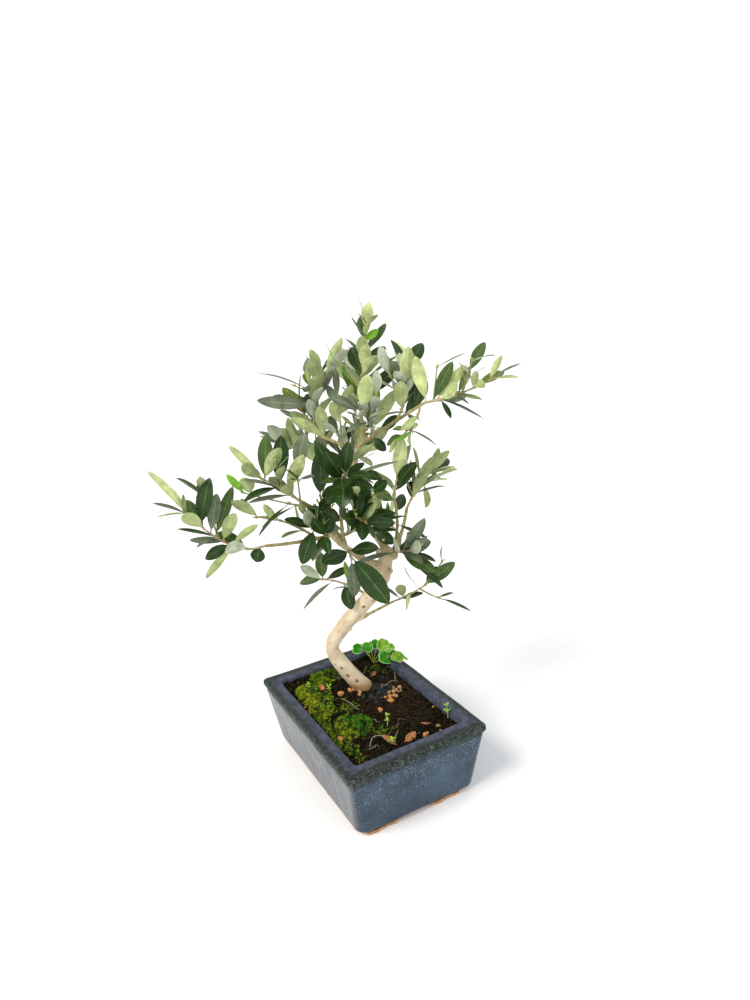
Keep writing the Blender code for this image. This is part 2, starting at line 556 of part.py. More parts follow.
class Growth:
    """What has grown so far, and the test that a new twig or leaf touches none of it.

    Leaves of one mass may meet where their stalks start, so the test leaves out that stretch of them.
    """

    def __init__(self, limbs):
        self.owners = []
        self.parts = np.zeros((0, 8))
        self.leaf_owners = []
        self.leaf_shapes = []
        self.leaf_centres = []
        self.twigs = {}
        self.leaves = {}
        for name, limb in limbs.items():
            self.add_wood(name, limb, corner=1.0)

    def add_wood(self, owner, limb, corner=TWIG_CORNER):
        self.owners += [owner] * (len(limb.path) - 1)
        self.parts = np.vstack([self.parts, limb.parts(corner)])

    def close_leaves(self, name, centre, reach, same):
        """Shapes of the near leaves of the same mass, without their stalks, or of the other masses."""
        if not self.leaf_centres:
            return []
        gaps = np.linalg.norm(np.array(self.leaf_centres) - centre, axis=1)
        near = [i for i in np.nonzero(gaps < reach)[0] if (self.leaf_owners[i] == name) == same]
        return [self.leaf_shapes[i][same] for i in near]

    def twig_is_free(self, name, limb):
        fine = np.array([limb.point(t) for t in np.linspace(0.2, 1.0, 14)])
        if gap_to(fine, self.parts).min() < TWIG_GAP:
            return False
        for same in (False, True):
            shapes = self.close_leaves(name, fine.mean(axis=0), 0.5 * limb.length + 20.0, same)
            if shapes:
                triangles = np.concatenate([shape[LEAF_FACES] for shape in shapes])
                if crossing(limb.path[:-1], limb.path[1:], triangles):
                    return False
        return True

    def leaf_is_free(self, name, own, shapes, length):
        """A leaf keeps clear of other leaves, other limbs, and all but the root of its own twig."""
        corners = shapes[False]
        centre = corners.mean(axis=0)
        span = np.linalg.norm(self.parts[:, 3:6] - self.parts[:, :3], axis=1)
        close = np.linalg.norm(self.parts[:, :3] - centre, axis=1) < 0.6 * length + span + 8.0
        mine = np.array([owner == own for owner in self.owners])
        rim = corners[1:]
        between = ((0, 1), (2, 3), (4, 2), (4, 3), (0, 2), (1, 3))
        probes = np.vstack([rim, *[0.5 * (rim[i] + rim[j]) for i, j in between]])
        triangles = corners[LEAF_FACES]
        wood = self.parts[close & ~mine]
        if len(wood) and gap_to(probes, wood).min() < WOOD_GAP:
            return False
        if len(wood) and crossing(wood[:, :3], wood[:, 3:6], triangles):
            return False
        wood = self.parts[close & mine]
        if len(wood) and gap_to(probes[2:7], wood).min() < WOOD_GAP:
            return False
        for same in (False, True):
            others = self.close_leaves(name, centre, 0.5 * length + 22.0, same)
            if others:
                edges = shapes[same][LEAF_EDGES]
                other_faces = np.concatenate([other[LEAF_FACES] for other in others])
                other_edges = np.concatenate([other[LEAF_EDGES] for other in others])
                if crossing(edges[:, 0], edges[:, 1], other_faces):
                    return False
                if crossing(other_edges[:, 0], other_edges[:, 1], shapes[same][LEAF_FACES]):
                    return False
        return True

    def add_leaf(self, name, own, blade):
        shapes = (leaf_corners(blade, LEAF_GAP), leaf_corners(blade, LEAF_GAP, root_at=PETIOLE))
        if not self.leaf_is_free(name, own, shapes, blade.length):
            return False
        self.leaf_owners.append(name)
        self.leaf_shapes.append(shapes)
        self.leaf_centres.append(shapes[0].mean(axis=0))
        self.leaves[name].append(blade)
        return True


def grow_twigs(growth, name, mass, stem, rng):
    """Side twigs spiral up the stem by the golden angle; one that would touch something is left out."""
    shoots = []
    for k in range(mass.twigs):
        at = TWIGS_FROM + TWIGS_OVER * (k + rng.uniform(0.0, 0.6)) / mass.twigs
        along = stem.along(at)
        side = unit(np.cross(along, (0.05, 0.1, 1.0)))
        up = np.cross(side, along)
        for _ in range(TWIG_TRIES):
            turn = math.radians(mass.roll + 90.0 + GOLDEN_ANGLE * k + rng.uniform(-TWIG_TURN, TWIG_TURN))
            lean = math.radians(rng.uniform(*TWIG_SPREAD))
            way = math.cos(lean) * along + math.sin(lean) * (math.cos(turn) * side + math.sin(turn) * up)
            long = TWIG_LEAST + stem.length * rng.uniform(*TWIG_LONG_SHARE)
            reach = long * unit(way + np.array((0.0, 0.0, TWIG_RISE)))
            path = arch(stem.point(at), reach, (0.0, 0.0, -TWIG_SAG * long), TWIG_POINTS)
            twig = Limb(path, np.linspace(TWIG_RADIUS, STEM_TIP_RADIUS, TWIG_POINTS))
            if growth.twig_is_free(name, twig):
                shoots.append(twig)
                growth.add_wood(f"{name}.{k + 1}", twig)
                break
        else:
            shoots.append(None)
    return shoots


def grow_pairs(growth, name, own, limb, pairs, size, roll, first, stem, rng):
    """Opposite leaf pairs, each a quarter turn from the one before, closing up towards the tip."""
    for k in range(pairs):
        at = min(0.985, first + (1.0 - first) * k / max(1, pairs - 1))
        along = limb.along(at)
        side = unit(np.cross(along, (0.05, 0.1, 1.0)))
        up = np.cross(side, along)
        turn = math.radians(roll + 90.0 * k + rng.uniform(-LEAF_TURN, LEAF_TURN))
        for half in range(2):
            angle = turn + math.pi * half
            out = math.cos(angle) * side + math.sin(angle) * up
            lean = math.radians(rng.uniform(*LEAF_SPREAD) - LEAF_CLOSING * at)
            axis = math.cos(lean) * along + math.sin(lean) * out + np.array((0.0, 0.0, LEAF_RISE))
            length = size * (0.72 + 0.28 * math.sin(math.pi * (0.25 + 0.6 * at))) * rng.uniform(0.84, 1.12)
            wide = length * rng.uniform(*LEAF_WIDE_SHARE)
            arching = rng.uniform(0.0, LEAF_ARCH)
            fold = rng.uniform(*LEAF_FOLD)
            face = along + np.array((0.0, 0.0, 0.5)) + rng.uniform(-0.5, 0.5) * np.cross(out, along)
            for _ in range(LEAF_TRIES):
                blade = make_blade(limb, at - half * PAIR_APART / limb.length, axis, face,
                                   length, wide, arching, fold)
                tip = blade.base + blade.axis * length
                inside = gap_to(tip[None], stem.parts())[0] < MASS_SPACE * size
                if inside and growth.add_leaf(name, own, blade):
                    break
                axis = axis + LEAF_TRY_SWAY * np.array([rng.uniform(-1, 1) for _ in range(3)])
                length *= LEAF_TRY_SHARE
                wide *= LEAF_TRY_SHARE


def grow_stems(limbs):
    """Every stem and the plainest leaves come before the rest, so that nothing stands in their way."""
    growth = Growth(limbs)
    for name, mass in MASSES.items():
        parent = limbs[mass.on]
        radii = (min(STEM_RADIUS, STEM_SHARE * parent.radius(mass.at)), STEM_TIP_RADIUS)
        stem = grow_on(parent, mass.at, mass.reach, mass.bow, radii, STEM_POINTS)
        growth.twigs[name] = [stem]
        growth.add_wood(f"{name}.0", stem)
    for name, mass in MASSES.items():
        stem = growth.twigs[name][0]
        growth.leaves[name] = []
        for leaf in mass.main:
            length = float(np.linalg.norm(leaf.reach))
            face = LOOKS[leaf.looks]
            blade = make_blade(stem, leaf.at, leaf.reach, face, length, leaf.wide, MAIN_ARCH, MAIN_FOLD)
            growth.add_leaf(name, f"{name}.0", blade)
    return growth


def grow_mass(growth, name, mass):
    rng = random.Random(mass.seed)
    stem = growth.twigs[name][0]
    shoots = grow_twigs(growth, name, mass, stem, rng)
    growth.twigs[name] += [twig for twig in shoots if twig is not None]
    grow_pairs(growth, name, f"{name}.0", stem, mass.pairs, mass.leaf, mass.roll, FIRST_PAIR, stem, rng)
    for k, twig in enumerate(shoots):
        if twig is not None:
            pairs = max(2, round(twig.length / PAIR_STEP))
            own = f"{name}.{k + 1}"
            grow_pairs(growth, name, own, twig, pairs, mass.leaf, mass.roll + 45, FIRST_TWIG_PAIR, stem, rng)


def grow_crown(limbs):
    growth = grow_stems(limbs)
    for name, mass in MASSES.items():
        grow_mass(growth, name, mass)
    return growth


def tube(limb, sides, corner=1.0):
    """Points and faces of a limb: its rings keep their turn from one to the next."""
    ways = np.gradient(limb.path, axis=0)
    ways[0] = limb.foot_way
    side = unit(np.cross(ways[0], (0.31, 0.87, 0.12)))
    rings = []
    for point, way, radius in zip(limb.path, ways, limb.radii):
        way = unit(way)
        side = unit(side - way * (side @ way))
        up = np.cross(way, side)
        turns = [2.0 * math.pi * k / sides for k in range(sides)]
        radius *= corner
        rings.append([tuple(point + radius * (math.cos(t) * side + math.sin(t) * up)) for t in turns])
    return loft(rings)


def build_wood(limbs):
    for name, limb in limbs.items():
        sides = TRUNK_SIDES if name == "trunk" else BOUGH_SIDES
        make_object(name, *tube(limb, sides), "bark", TREE_TURN, smooth=50.0)


def keep_main_body(mesh):
    """Drops scraps and sealed hollows: only the body with the most faces stays."""
    bm = bmesh.new()
    bm.from_mesh(mesh)
    bmesh.ops.triangulate(bm, faces=bm.faces)
    left = set(bm.verts)
    bodies = []
    while left:
        seen = {left.pop()}
        front = list(seen)
        while front:
            near = {edge.other_vert(vert) for vert in front for edge in vert.link_edges} - seen
            seen |= near
            front = list(near)
        left -= seen
        bodies.append(seen)
    bodies.sort(key=len)
    bmesh.ops.delete(bm, geom=[vert for body in bodies[:-1] for vert in body], context="VERTS")
    bm.to_mesh(mesh)
    bm.free()


def fuse(name, pieces, look, turn):
    """One solid from a first piece and all that is rooted in it."""
    first = make_object(name, *pieces[0], look, turn)
    rest = bpy.data.collections.new(name + "_rest")
    for k, piece in enumerate(pieces[1:]):
        thing = make_object(f"{name}_{k}", *piece, look, turn)
        rest.objects.link(thing)
    bpy.context.scene.collection.children.link(rest)
    union = first.modifiers.new("Union", "BOOLEAN")
    union.operation = "UNION"
    union.operand_type = "COLLECTION"
    union.collection = rest
    union.solver = "MANIFOLD"
    bpy.context.view_layer.update()
    graph = bpy.context.evaluated_depsgraph_get()
    fused = bpy.data.meshes.new_from_object(first.evaluated_get(graph))
    first.modifiers.clear()
    first.data = fused
    for thing in list(rest.objects):
        bpy.data.objects.remove(thing, do_unlink=True)
    bpy.data.collections.remove(rest)
    keep_main_body(fused)
    fused.materials.clear()
    fused.materials.append(make_material(name, look))
    fused.shade_smooth()
    fused.set_sharp_from_angle(angle=math.radians(35.0))
    return first


def leaf_piece(blade):
    """Points and faces of one leaf."""
    points = [tuple(corner) for corner in leaf_corners(blade)]
    return points, [tuple(int(corner) for corner in face) for face in LEAF_FACES]


def build_masses(growth):
    for name in MASSES:
        pieces = [tube(twig, TWIG_SIDES, corner=TWIG_CORNER) for twig in growth.twigs[name]]
        pieces += [leaf_piece(blade) for blade in growth.leaves[name]]
        fuse(name, pieces, "leaves", TREE_TURN)


def build_sprig():
    """A stub with broad leaves on all sides, the longest of them over the rim."""
    foot = np.array((*SPRIG_AT, SOIL_TOP + CLEAR))
    stub = Limb([foot, foot + np.array((0.0, 0.0, SPRIG_STUB))], SPRIG_RADII)
    pieces = [tube(stub, BOUGH_SIDES)]
    roots = np.linspace(*SPRIG_ROOTS, len(SPRIG_LEAVES))
    for root_at, (turn, rise, length) in zip(roots, SPRIG_LEAVES):
        heading, climb = math.radians(turn), math.radians(rise)
        axis = (math.cos(climb) * math.cos(heading), math.cos(climb) * math.sin(heading), math.sin(climb))
        blade = make_blade(stub, root_at, axis, (0.0, 0.0, 1.0), length,
                           SPRIG_WIDE_SHARE * length, LEAF_ARCH, LEAF_FOLD[1])
        pieces.append(leaf_piece(blade))
    fuse("sprig_back", pieces, "sprig", 0.0)


def main():
    clear_scene()
    build_pot()
    build_feet()
    build_soil()
    build_moss()
    build_sprig()
    limbs = grow_limbs()
    build_wood(limbs)
    build_masses(grow_crown(limbs))


main()
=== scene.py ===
"""Looks of the olive bonsai and its pot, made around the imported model.

Sizes are in millimetres in the model's frame: +Z is up, the origin is the middle of the pot's underside
and the pot's short side faces -Y. The tree is worked out in its own frame, which is turned about Z from
the pot's by TREE_TURN. The crown grows by the same rule, tables and seeds as the model's solids, but for
one leaf of foliage_trunk_front that is longer here. It is then carried on to finer twigs and smaller
leaves within the same reach.
"""

import math
import random
from collections import namedtuple

import bmesh
import bpy
import numpy as np
from mathutils import Matrix, Vector, noise


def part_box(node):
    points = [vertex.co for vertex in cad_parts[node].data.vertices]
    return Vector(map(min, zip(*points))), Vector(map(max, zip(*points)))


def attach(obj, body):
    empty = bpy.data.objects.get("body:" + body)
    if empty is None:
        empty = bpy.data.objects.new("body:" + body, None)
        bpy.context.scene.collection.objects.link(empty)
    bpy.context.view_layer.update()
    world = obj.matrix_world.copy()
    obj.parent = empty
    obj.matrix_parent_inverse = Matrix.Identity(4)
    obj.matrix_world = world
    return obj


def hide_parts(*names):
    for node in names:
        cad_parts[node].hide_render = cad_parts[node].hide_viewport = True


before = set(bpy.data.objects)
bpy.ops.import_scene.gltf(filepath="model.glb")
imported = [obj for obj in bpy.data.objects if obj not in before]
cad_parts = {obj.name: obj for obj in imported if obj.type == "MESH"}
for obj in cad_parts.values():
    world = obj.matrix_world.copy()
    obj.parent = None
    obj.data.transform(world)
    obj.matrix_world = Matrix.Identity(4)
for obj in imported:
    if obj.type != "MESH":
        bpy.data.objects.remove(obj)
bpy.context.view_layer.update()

MM = 0.001
CLEAR = 0.3
BODY = "root"
FULL_TURN = 6.28
QUARTER = 90.0
SEEDS = {"leaves": 5, "buds": 8, "litter": 12, "crumbs": 21, "fibres": 33, "moss": 44}

# The camera in the tree's frame, and its lens on a 36 mm frame
CAMERA_AT = (17.6, -459.7, 334.8)
CAMERA_DIP = math.radians(16.43)
CAMERA_ROLL = math.radians(4.42)
CAMERA_LENS = 25.79
CAMERA_FRAME = 36.0

# Light: a sky that is bright low down and dimmer above, and two broad suns with their strength, colour,
# width and the way they come from
SKY_LOW = (1.12, 1.125, 1.13)
SKY_HIGH = (0.40, 0.42, 0.46)
SKY_RISE = (0.42, 0.85)
SUNS = {
    "key": (2.5, (1.0, 0.95, 0.88), 28.0, (-0.8, -0.55, 1.0)),
    "fill": (0.6, (0.95, 0.98, 1.0), 60.0, (0.9, -0.5, 0.5)),
}
FLOOR_RADIUS = 6000.0
FLOOR_SIDES = 96
FLOOR_COLOUR = (0.96, 0.96, 0.96)

# The pot: half sizes across X and Y of each level
RIM_HALF = (52.5, 75.0)
RIM_TOP = 48.5
RIM_DEEP = 5.0
RIM_STEP = 0.9
RIM_CORNER = 3.0
INNER_HALF = (41.5, 62.0)
INNER_CORNER = 2.5
FLOOR_HALF = (37.5, 58.0)
FLOOR_TOP = 7.0
WALL_FOOT_HALF = (45.8, 68.3)
WALL_CORNER = 8.0
FOOT_ROUND = 3.0
UNDERSIDE = -0.6
PANEL_HALF = (34.0, 40.0)
PANEL_DRAFT = 0.4

# The feet
FOOT_HALF = (12.5, 10.0)
FOOT_HIGH = 2.3
FOOT_CORNER = 3.0
FEET_X = (-28.0, 20.5)
FEET_Y = 57.0

# The soil and what grows on it
SOIL_TOP = 44.0
Cushion = namedtuple("Cushion", "middle half high turn")
MOSS = {
    "moss_left": Cushion((-27.5, 27.0), (12.0, 25.0), 6.5, 0.4),
    "moss_front": Cushion((-20.0, -17.0), (13.0, 14.0), 5.5, 2.1),
    "moss_back": Cushion((-8.0, 51.0), (14.0, 8.5), 4.5, 1.2),
}
MOSS_WAVE = 0.09

# The tree's frame
TREE_TURN = math.radians(-27.97)
TRUNK_FOOT = (-2.0, 24.0, SOIL_TOP + CLEAR)
TRUNK_LINE = (
    (0, 0, 0), (-12, 0, 17), (-20.5, -1, 36), (-10.5, -3, 54),
    (12, -6, 79), (21, -7, 94), (25, -8, 112),
)
TRUNK_RADII = (6.5, 6.1, 5.1, 5.6, 5.7, 5.8, 4.4)
TRUNK_SPAN_STEPS = 4
FLARE = 0.9
FLARE_HIGH = 3.0
BOUGH_POINTS = 7

# A limb's way is taken over this share of its length to both sides. Where it leaves its parent, the places
# tried for its cut, how far along the last is, and the points round each; what is beside a limb is told by
# ways that no limb takes
NEAR = 0.03
CUT_STEPS = 241
CUT_LAST = 0.6
CUT_POINTS = 12
CUT_SIDE = (0.3, 0.5, 0.8)
ALMOST_UP = (0.05, 0.1, 1.0)
TUBE_SIDE = (0.31, 0.87, 0.12)

# A bough: what it grows on and how far along that, its reach and bow, its first and last radius
Bough = namedtuple("Bough", "on at reach bow thick")
BOUGHS = {
    "bough_left": Bough("trunk", 0.89, (-34, -12, 33), (-1, -2, -1), (2.9, 1.9)),
    "bough_far_left": Bough("bough_left", 1.0, (-44, -11, 0), (0, 0, -1), (1.4, 1.1)),
    "bough_left_middle": Bough("bough_left", 0.75, (-24, -16, 38), (3, 0, 3), (1.6, 1.2)),
    "bough_front": Bough("bough_left", 0.70, (2, -22, 50), (-1, -3, 0), (1.4, 1.1)),
    "bough_leader": Bough("trunk", 1.0, (-16, 1, 75), (-7, 4, 0), (2.6, 1.9)),
    "bough_upper_left": Bough("bough_leader", 0.96, (-24, 6, 13), (0, 0, 1), (1.4, 1.1)),
    "bough_right_top": Bough("bough_leader", 1.0, (47, -20, 31), (-1, 0, 0), (1.6, 1.0)),
    "bough_apex": Bough("bough_right_top", 0.17, (0, 4, 28), (-2, 0, 0), (1.3, 1.0)),
    "bough_right_inner": Bough("trunk", 0.80, (15, -1, 66), (7, 0, -1), (1.4, 1.0)),
    "bough_low_right": Bough("trunk", 0.465, (38, -10, 22), (0, 0, 0), (1.3, 0.9)),
    "bough_back_left": Bough("bough_leader", 0.35, (-24, 34, 26), (-2, 2, 4), (1.6, 1.1)),
    "bough_back_right": Bough("trunk", 0.92, (20, 36, 30), (2, 3, -4), (1.8, 1.2)),
    "bough_back_top": Bough("bough_leader", 0.84, (2, 32, 26), (0, 3, -3), (1.5, 1.1)),
}

# A mass: the bough it grows on and how far along that, its stem's reach and bow, the leaf pairs on the
# stem, the leaf length, the side twigs, the turn of the first pair, the seed, and the leaves that show
# plainest: how far along the stem, the reach, the width, where the upper face looks, and the age if it
# isn't dealt out
Mass = namedtuple("Mass", "on at reach bow pairs leaf twigs roll seed main")
Leaf = namedtuple("Leaf", "at reach wide looks age", defaults=(None,))
LOOKS = {
    "front": (0.0, -1.0, 0.3), "back": (0.0, 1.0, 0.4), "up": (0.0, -0.2, 1.0),
    "left": (-1.0, -0.4, 0.3), "right": (1.0, -0.4, 0.3),
}
MASSES = {
    "foliage_far_left": Mass("bough_far_left", 1.0, (-46, -15, 32), (1, 1, -11), 4, 24, 1, 20, 22, (
        Leaf(0.77, (8, 4, 31), 11, "front", "old"), Leaf(0.98, (-10, -10, 24), 6, "back", "young"),
        Leaf(0.58, (15, 8, 30), 8, "front", "mid"), Leaf(0.36, (-19, -6, -20), 6, "back", "mid"),
        Leaf(0.40, (-15, -10, -5), 8, "front", "old"), Leaf(0.06, (-3, -6, -8), 10, "front", "old"),
        Leaf(0.99, (-17, -6, 32), 6, "back", "young"), Leaf(0.95, (-20, -3, 12), 4, "up", "silver"),
        Leaf(1.00, (-4, 0, 10), 3, "left", "tip"), Leaf(0.73, (14, -4, 20), 6, "left", "old"),
        Leaf(0.64, (7, 5, 25), 9, "front", "silver"), Leaf(0.48, (11, -5, 21), 9, "back", "mid"),
        Leaf(0.45, (17, 5, 16), 3, "up", "old"), Leaf(0.37, (19, -5, 15), 6, "back", "mid"),
        Leaf(0.64, (-16, -5, 13), 5, "back", "young"), Leaf(0.55, (-23, -7, 10), 5, "up", "old"),
        Leaf(0.58, (-11, -8, -4), 4, "up", "silver"))),
    "foliage_left_shoot": Mass("bough_far_left", 0.22, (-38, -11, 22), (0, 0, 4), 3, 19, 0, 60, 12, (
        Leaf(0.97, (-14, -6, 15), 9, "back", "mid"),)),
    "foliage_left_tip": Mass("bough_left_middle", 1.0, (-22, -10, 20), (0, 0, 1), 3, 25, 1, 10, 24, (
        Leaf(0.97, (-18, -4, 24), 6, "back", "young"), Leaf(0.92, (4, 6, 27), 10, "front", "mid"),
        Leaf(0.55, (3, 12, 32), 11, "front", "old"), Leaf(0.38, (14, -6, 25), 9, "back", "young"),
        Leaf(0.22, (-26, -16, 2), 7, "up", "silver"), Leaf(0.93, (13, -7, 22), 9, "back", "mid"),
        Leaf(0.98, (-16, 6, 11), 5, "up", "silver"), Leaf(0.49, (-22, -12, 11), 7, "up", "silver"),
        Leaf(0.28, (-5, -3, 28), 8, "front", "old"))),
    "foliage_left_under": Mass("bough_left_middle", 0.12, (-14, -14, 8), (0, 0, -2), 2, 25, 1, 80, 4, (
        Leaf(0.90, (-9, -13, -19), 11, "front", "old"), Leaf(0.20, (-12, -8, 20), 9, "front", "old"),
        Leaf(0.36, (-12, -6, 23), 8, "front", "old"), Leaf(0.10, (-13, -10, 32), 6, "left", "silver"))),
    "foliage_front": Mass("bough_front", 1.0, (4, -14, 10), (0, 0, 1), 3, 26, 1, 30, 3, (
        Leaf(0.60, (-9, -14, 20), 13, "front", "old"), Leaf(0.10, (-13, -6, 29), 11, "front", "old"),
        Leaf(0.95, (-3, -14, -17), 13, "front", "old"), Leaf(0.76, (-11, -8, 25), 15, "front", "old"),
        Leaf(0.38, (36, -8, 11), 6, "up", "silver"), Leaf(0.21, (-10, -10, -10), 10, "front", "old"))),
    "foliage_front_low": Mass("bough_front", 0.45, (16, -22, 4), (0, 0, 3), 5, 26, 1, 0, 11, ()),
    "foliage_upper_left": Mass("bough_upper_left", 1.0, (10, 2, 42), (-6, 0, -2), 4, 26, 1, 45, 6, (
        Leaf(0.43, (3, -12, 23), 10, "back", "mid"), Leaf(0.92, (12, 6, 25), 7, "back", "young"),
        Leaf(0.47, (-38, -8, 6), 9, "front", "silver"), Leaf(0.80, (9, 5, 21), 9, "front", "mid"),
        Leaf(0.52, (13, 8, 22), 6, "front", "silver"))),
    "foliage_upper_far": Mass("bough_upper_left", 0.66, (-19, 9, 22), (0, 4, -4), 4, 28, 1, 0, 13, ()),
    "foliage_apex": Mass("bough_apex", 1.0, (6, -2, 48), (-1, 0, 1), 5, 23, 1, 15, 27, (
        Leaf(0.93, (3, 4, 17), 8, "back", "young"), Leaf(0.86, (-8, -5, 12), 5, "left", "mid"),
        Leaf(0.77, (9, -5, 8), 5, "front", "tip"), Leaf(0.53, (0, -7, 16), 8, "back", "young"),
        Leaf(0.31, (10, -9, 14), 9, "back", "young"), Leaf(0.03, (25, -5, 17), 9, "front", "old"),
        Leaf(0.06, (-18, -14, -8), 9, "back", "mid"), Leaf(0.09, (-23, -8, 34), 5, "left", "tip"),
        Leaf(0.33, (-6, 5, 18), 11, "front", "old"), Leaf(0.20, (26, 6, 18), 5, "up", "silver"),
        Leaf(0.44, (16, 5, 11), 8, "front", "mid"))),
    "foliage_crown_front": Mass("bough_right_top", 0.3, (-8, -18, 20), (0, -2, 3), 4, 25, 1, 70, 26, (
        Leaf(0.88, (4, -5, 25), 10, "back", "young"), Leaf(0.12, (16, -6, 27), 9, "back", "mid"),
        Leaf(0.29, (-15, -8, 12), 7, "up", "silver"), Leaf(0.09, (14, 4, 15), 10, "front", "old"))),
    "foliage_crown_right": Mass("bough_right_top", 0.62, (9, 2, 34), (2, 0, -2), 5, 25, 1, 35, 4, (
        Leaf(0.12, (-1, -10, 20), 10, "back", "mid"), Leaf(0.45, (4, -8, 31), 10, "back", "young"),
        Leaf(0.85, (-5, 8, 20), 8, "back", "young"), Leaf(0.97, (11, 5, 15), 9, "front", "old"),
        Leaf(0.69, (-9, 4, 14), 8, "front", "silver"), Leaf(0.32, (11, 8, 19), 9, "front", "old"))),
    "foliage_right_tip": Mass("bough_right_top", 1.0, (42, -14, 14), (0, 0, -2), 4, 21, 1, 5, 15, (
        Leaf(0.16, (20, 4, 21), 8, "back", "young"), Leaf(0.94, (8, -4, 15), 5, "back", "young"),
        Leaf(0.98, (17, -4, 9), 4, "up", "silver"), Leaf(0.22, (27, -2, -14), 6, "up", "old"),
        Leaf(0.02, (-6, -4, 30), 9, "back", "young"), Leaf(0.12, (13, 3, 24), 8, "front", "mid"),
        Leaf(0.08, (2, 9, 22), 9, "front", "old"), Leaf(0.91, (6, -2, 21), 2.5, "left", "mid"),
        Leaf(0.70, (2, -3, 11), 5, "back", "mid"), Leaf(0.77, (6, 3, 8), 5, "front", "mid"),
        Leaf(0.98, (11, -3, 13), 6, "back", "young"), Leaf(0.22, (6, -4, -12), 5, "up", "old"),
        Leaf(0.44, (8, -4, -6), 4, "up", "silver"))),
    "foliage_right_side": Mass("bough_right_top", 0.93, (-12, 6, -20), (4, 0, 2), 3, 19, 0, 25, 18, (
        Leaf(0.72, (18, -3, -11), 4, "up", "silver"),)),
    "foliage_right_inner": Mass("bough_right_inner", 1.0, (3, -4, 12), (0, 0, 0), 2, 26, 0, 0, 21, (
        Leaf(0.55, (14, -7, 18), 9, "front", "old"), Leaf(0.89, (6, -5, 30), 10, "back", "young"))),
    "foliage_low_centre": Mass("trunk", 0.955, (16, -10, 8), (0, 0, 2), 3, 30, 0, 10, 6, (
        Leaf(0.30, (-32, -16, 0), 7, "up", "silver"), Leaf(0.60, (26, -18, -22), 8, "up", "old"),
        Leaf(0.92, (19, -8, -6), 6, "up", "old"))),
    "foliage_trunk_front": Mass("bough_left", 0.62, (2, -13, -2), (0, 0, 1), 1, 28, 0, 0, 14, (
        Leaf(0.75, (25, -13, -30), 16, "front", "old"), Leaf(0.28, (16, -14, -24), 14, "front", "old"),
        Leaf(0.95, (1, 4, -31), 10, "front", "silver"))),
    "foliage_low_left": Mass("trunk", 0.71, (-34, 6, 14), (0, 0, 3), 2, 24, 0, 50, 15, (
        Leaf(0.97, (1, -6, 23), 9, "front", "mid"), Leaf(0.90, (17, 4, 7), 6, "front", "old"),
        Leaf(0.72, (-24, -6, -17), 6, "up", "silver"), Leaf(0.45, (3, -12, -15), 10, "front", "old"),
        Leaf(0.21, (-4, -5, -17), 3.5, "left", "old"))),
    "foliage_low_right": Mass("bough_low_right", 1.0, (24, -6, 14), (0, 0, -1), 2, 19, 0, 65, 23, (
        Leaf(0.97, (21, -4, 17), 9, "front", "mid"), Leaf(0.80, (-11, -6, 20), 4, "left", "mid"),
        Leaf(0.70, (24, -8, -7), 5, "up", "old"), Leaf(0.55, (-6, -13, -6), 9, "back", "mid"),
        Leaf(0.29, (-2, -4, 12), 8, "back", "mid"))),
    "foliage_back_left": Mass("bough_back_left", 1.0, (-26, 22, 20), (0, 2, 3), 7, 27, 2, 0, 7, ()),
    "foliage_back_right": Mass("bough_back_right", 1.0, (24, 22, 22), (0, 2, 3), 7, 27, 2, 40, 14, ()),
    "foliage_back_top": Mass("bough_back_top", 1.0, (4, 22, 34), (0, 4, 0), 8, 27, 2, 20, 28, ()),
    "foliage_back_low": Mass("bough_back_right", 0.5, (-18, 30, 6), (0, 0, 4), 6, 27, 1, 75, 26, ()),
    "foliage_back_centre": Mass("bough_back_left", 0.6, (14, 26, 30), (0, 3, 2), 7, 27, 2, 55, 28, ()),
}

# Short shoots that show plainly: their mass, what they grow on and how far along that, and their reach
Shoot = namedtuple("Shoot", "mass on at reach")
SHOOT_BOW = (0.0, 0.0, -0.6)
SHOOT_RADII = (0.7, 0.45)
SHOOTS = {
    "shoot_far_left": Shoot("foliage_left_shoot", "bough_left_middle", 0.75, (-41, -12, 17)),
    "shoot_left_tip": Shoot("foliage_left_tip", "bough_left_middle", 1.0, (0, -2, 21)),
    "shoot_left_front": Shoot("foliage_left_under", "bough_left_middle", 0.46, (-1, -6, 16)),
    "shoot_centre": Shoot("foliage_low_centre", "bough_front", 0.14, (7, -10, 6)),
    "shoot_middle": Shoot("foliage_front", "bough_leader", 0.52, (8, -12, 9)),
    "shoot_low": Shoot("foliage_low_right", "foliage_low_right", 0.94, (13, -3, 18)),
    "shoot_low_inner": Shoot("foliage_low_right", "foliage_low_right", 0.79, (14, -4, -7)),
    "shoot_top_left": Shoot("foliage_upper_left", "foliage_upper_left", 0.59, (-5, -3, 6)),
    "shoot_top": Shoot("foliage_upper_left", "bough_upper_left", 0.27, (-1, 6, 32)),
    "shoot_right": Shoot("foliage_right_tip", "foliage_right_tip", 0.12, (4, 6, 20)),
}

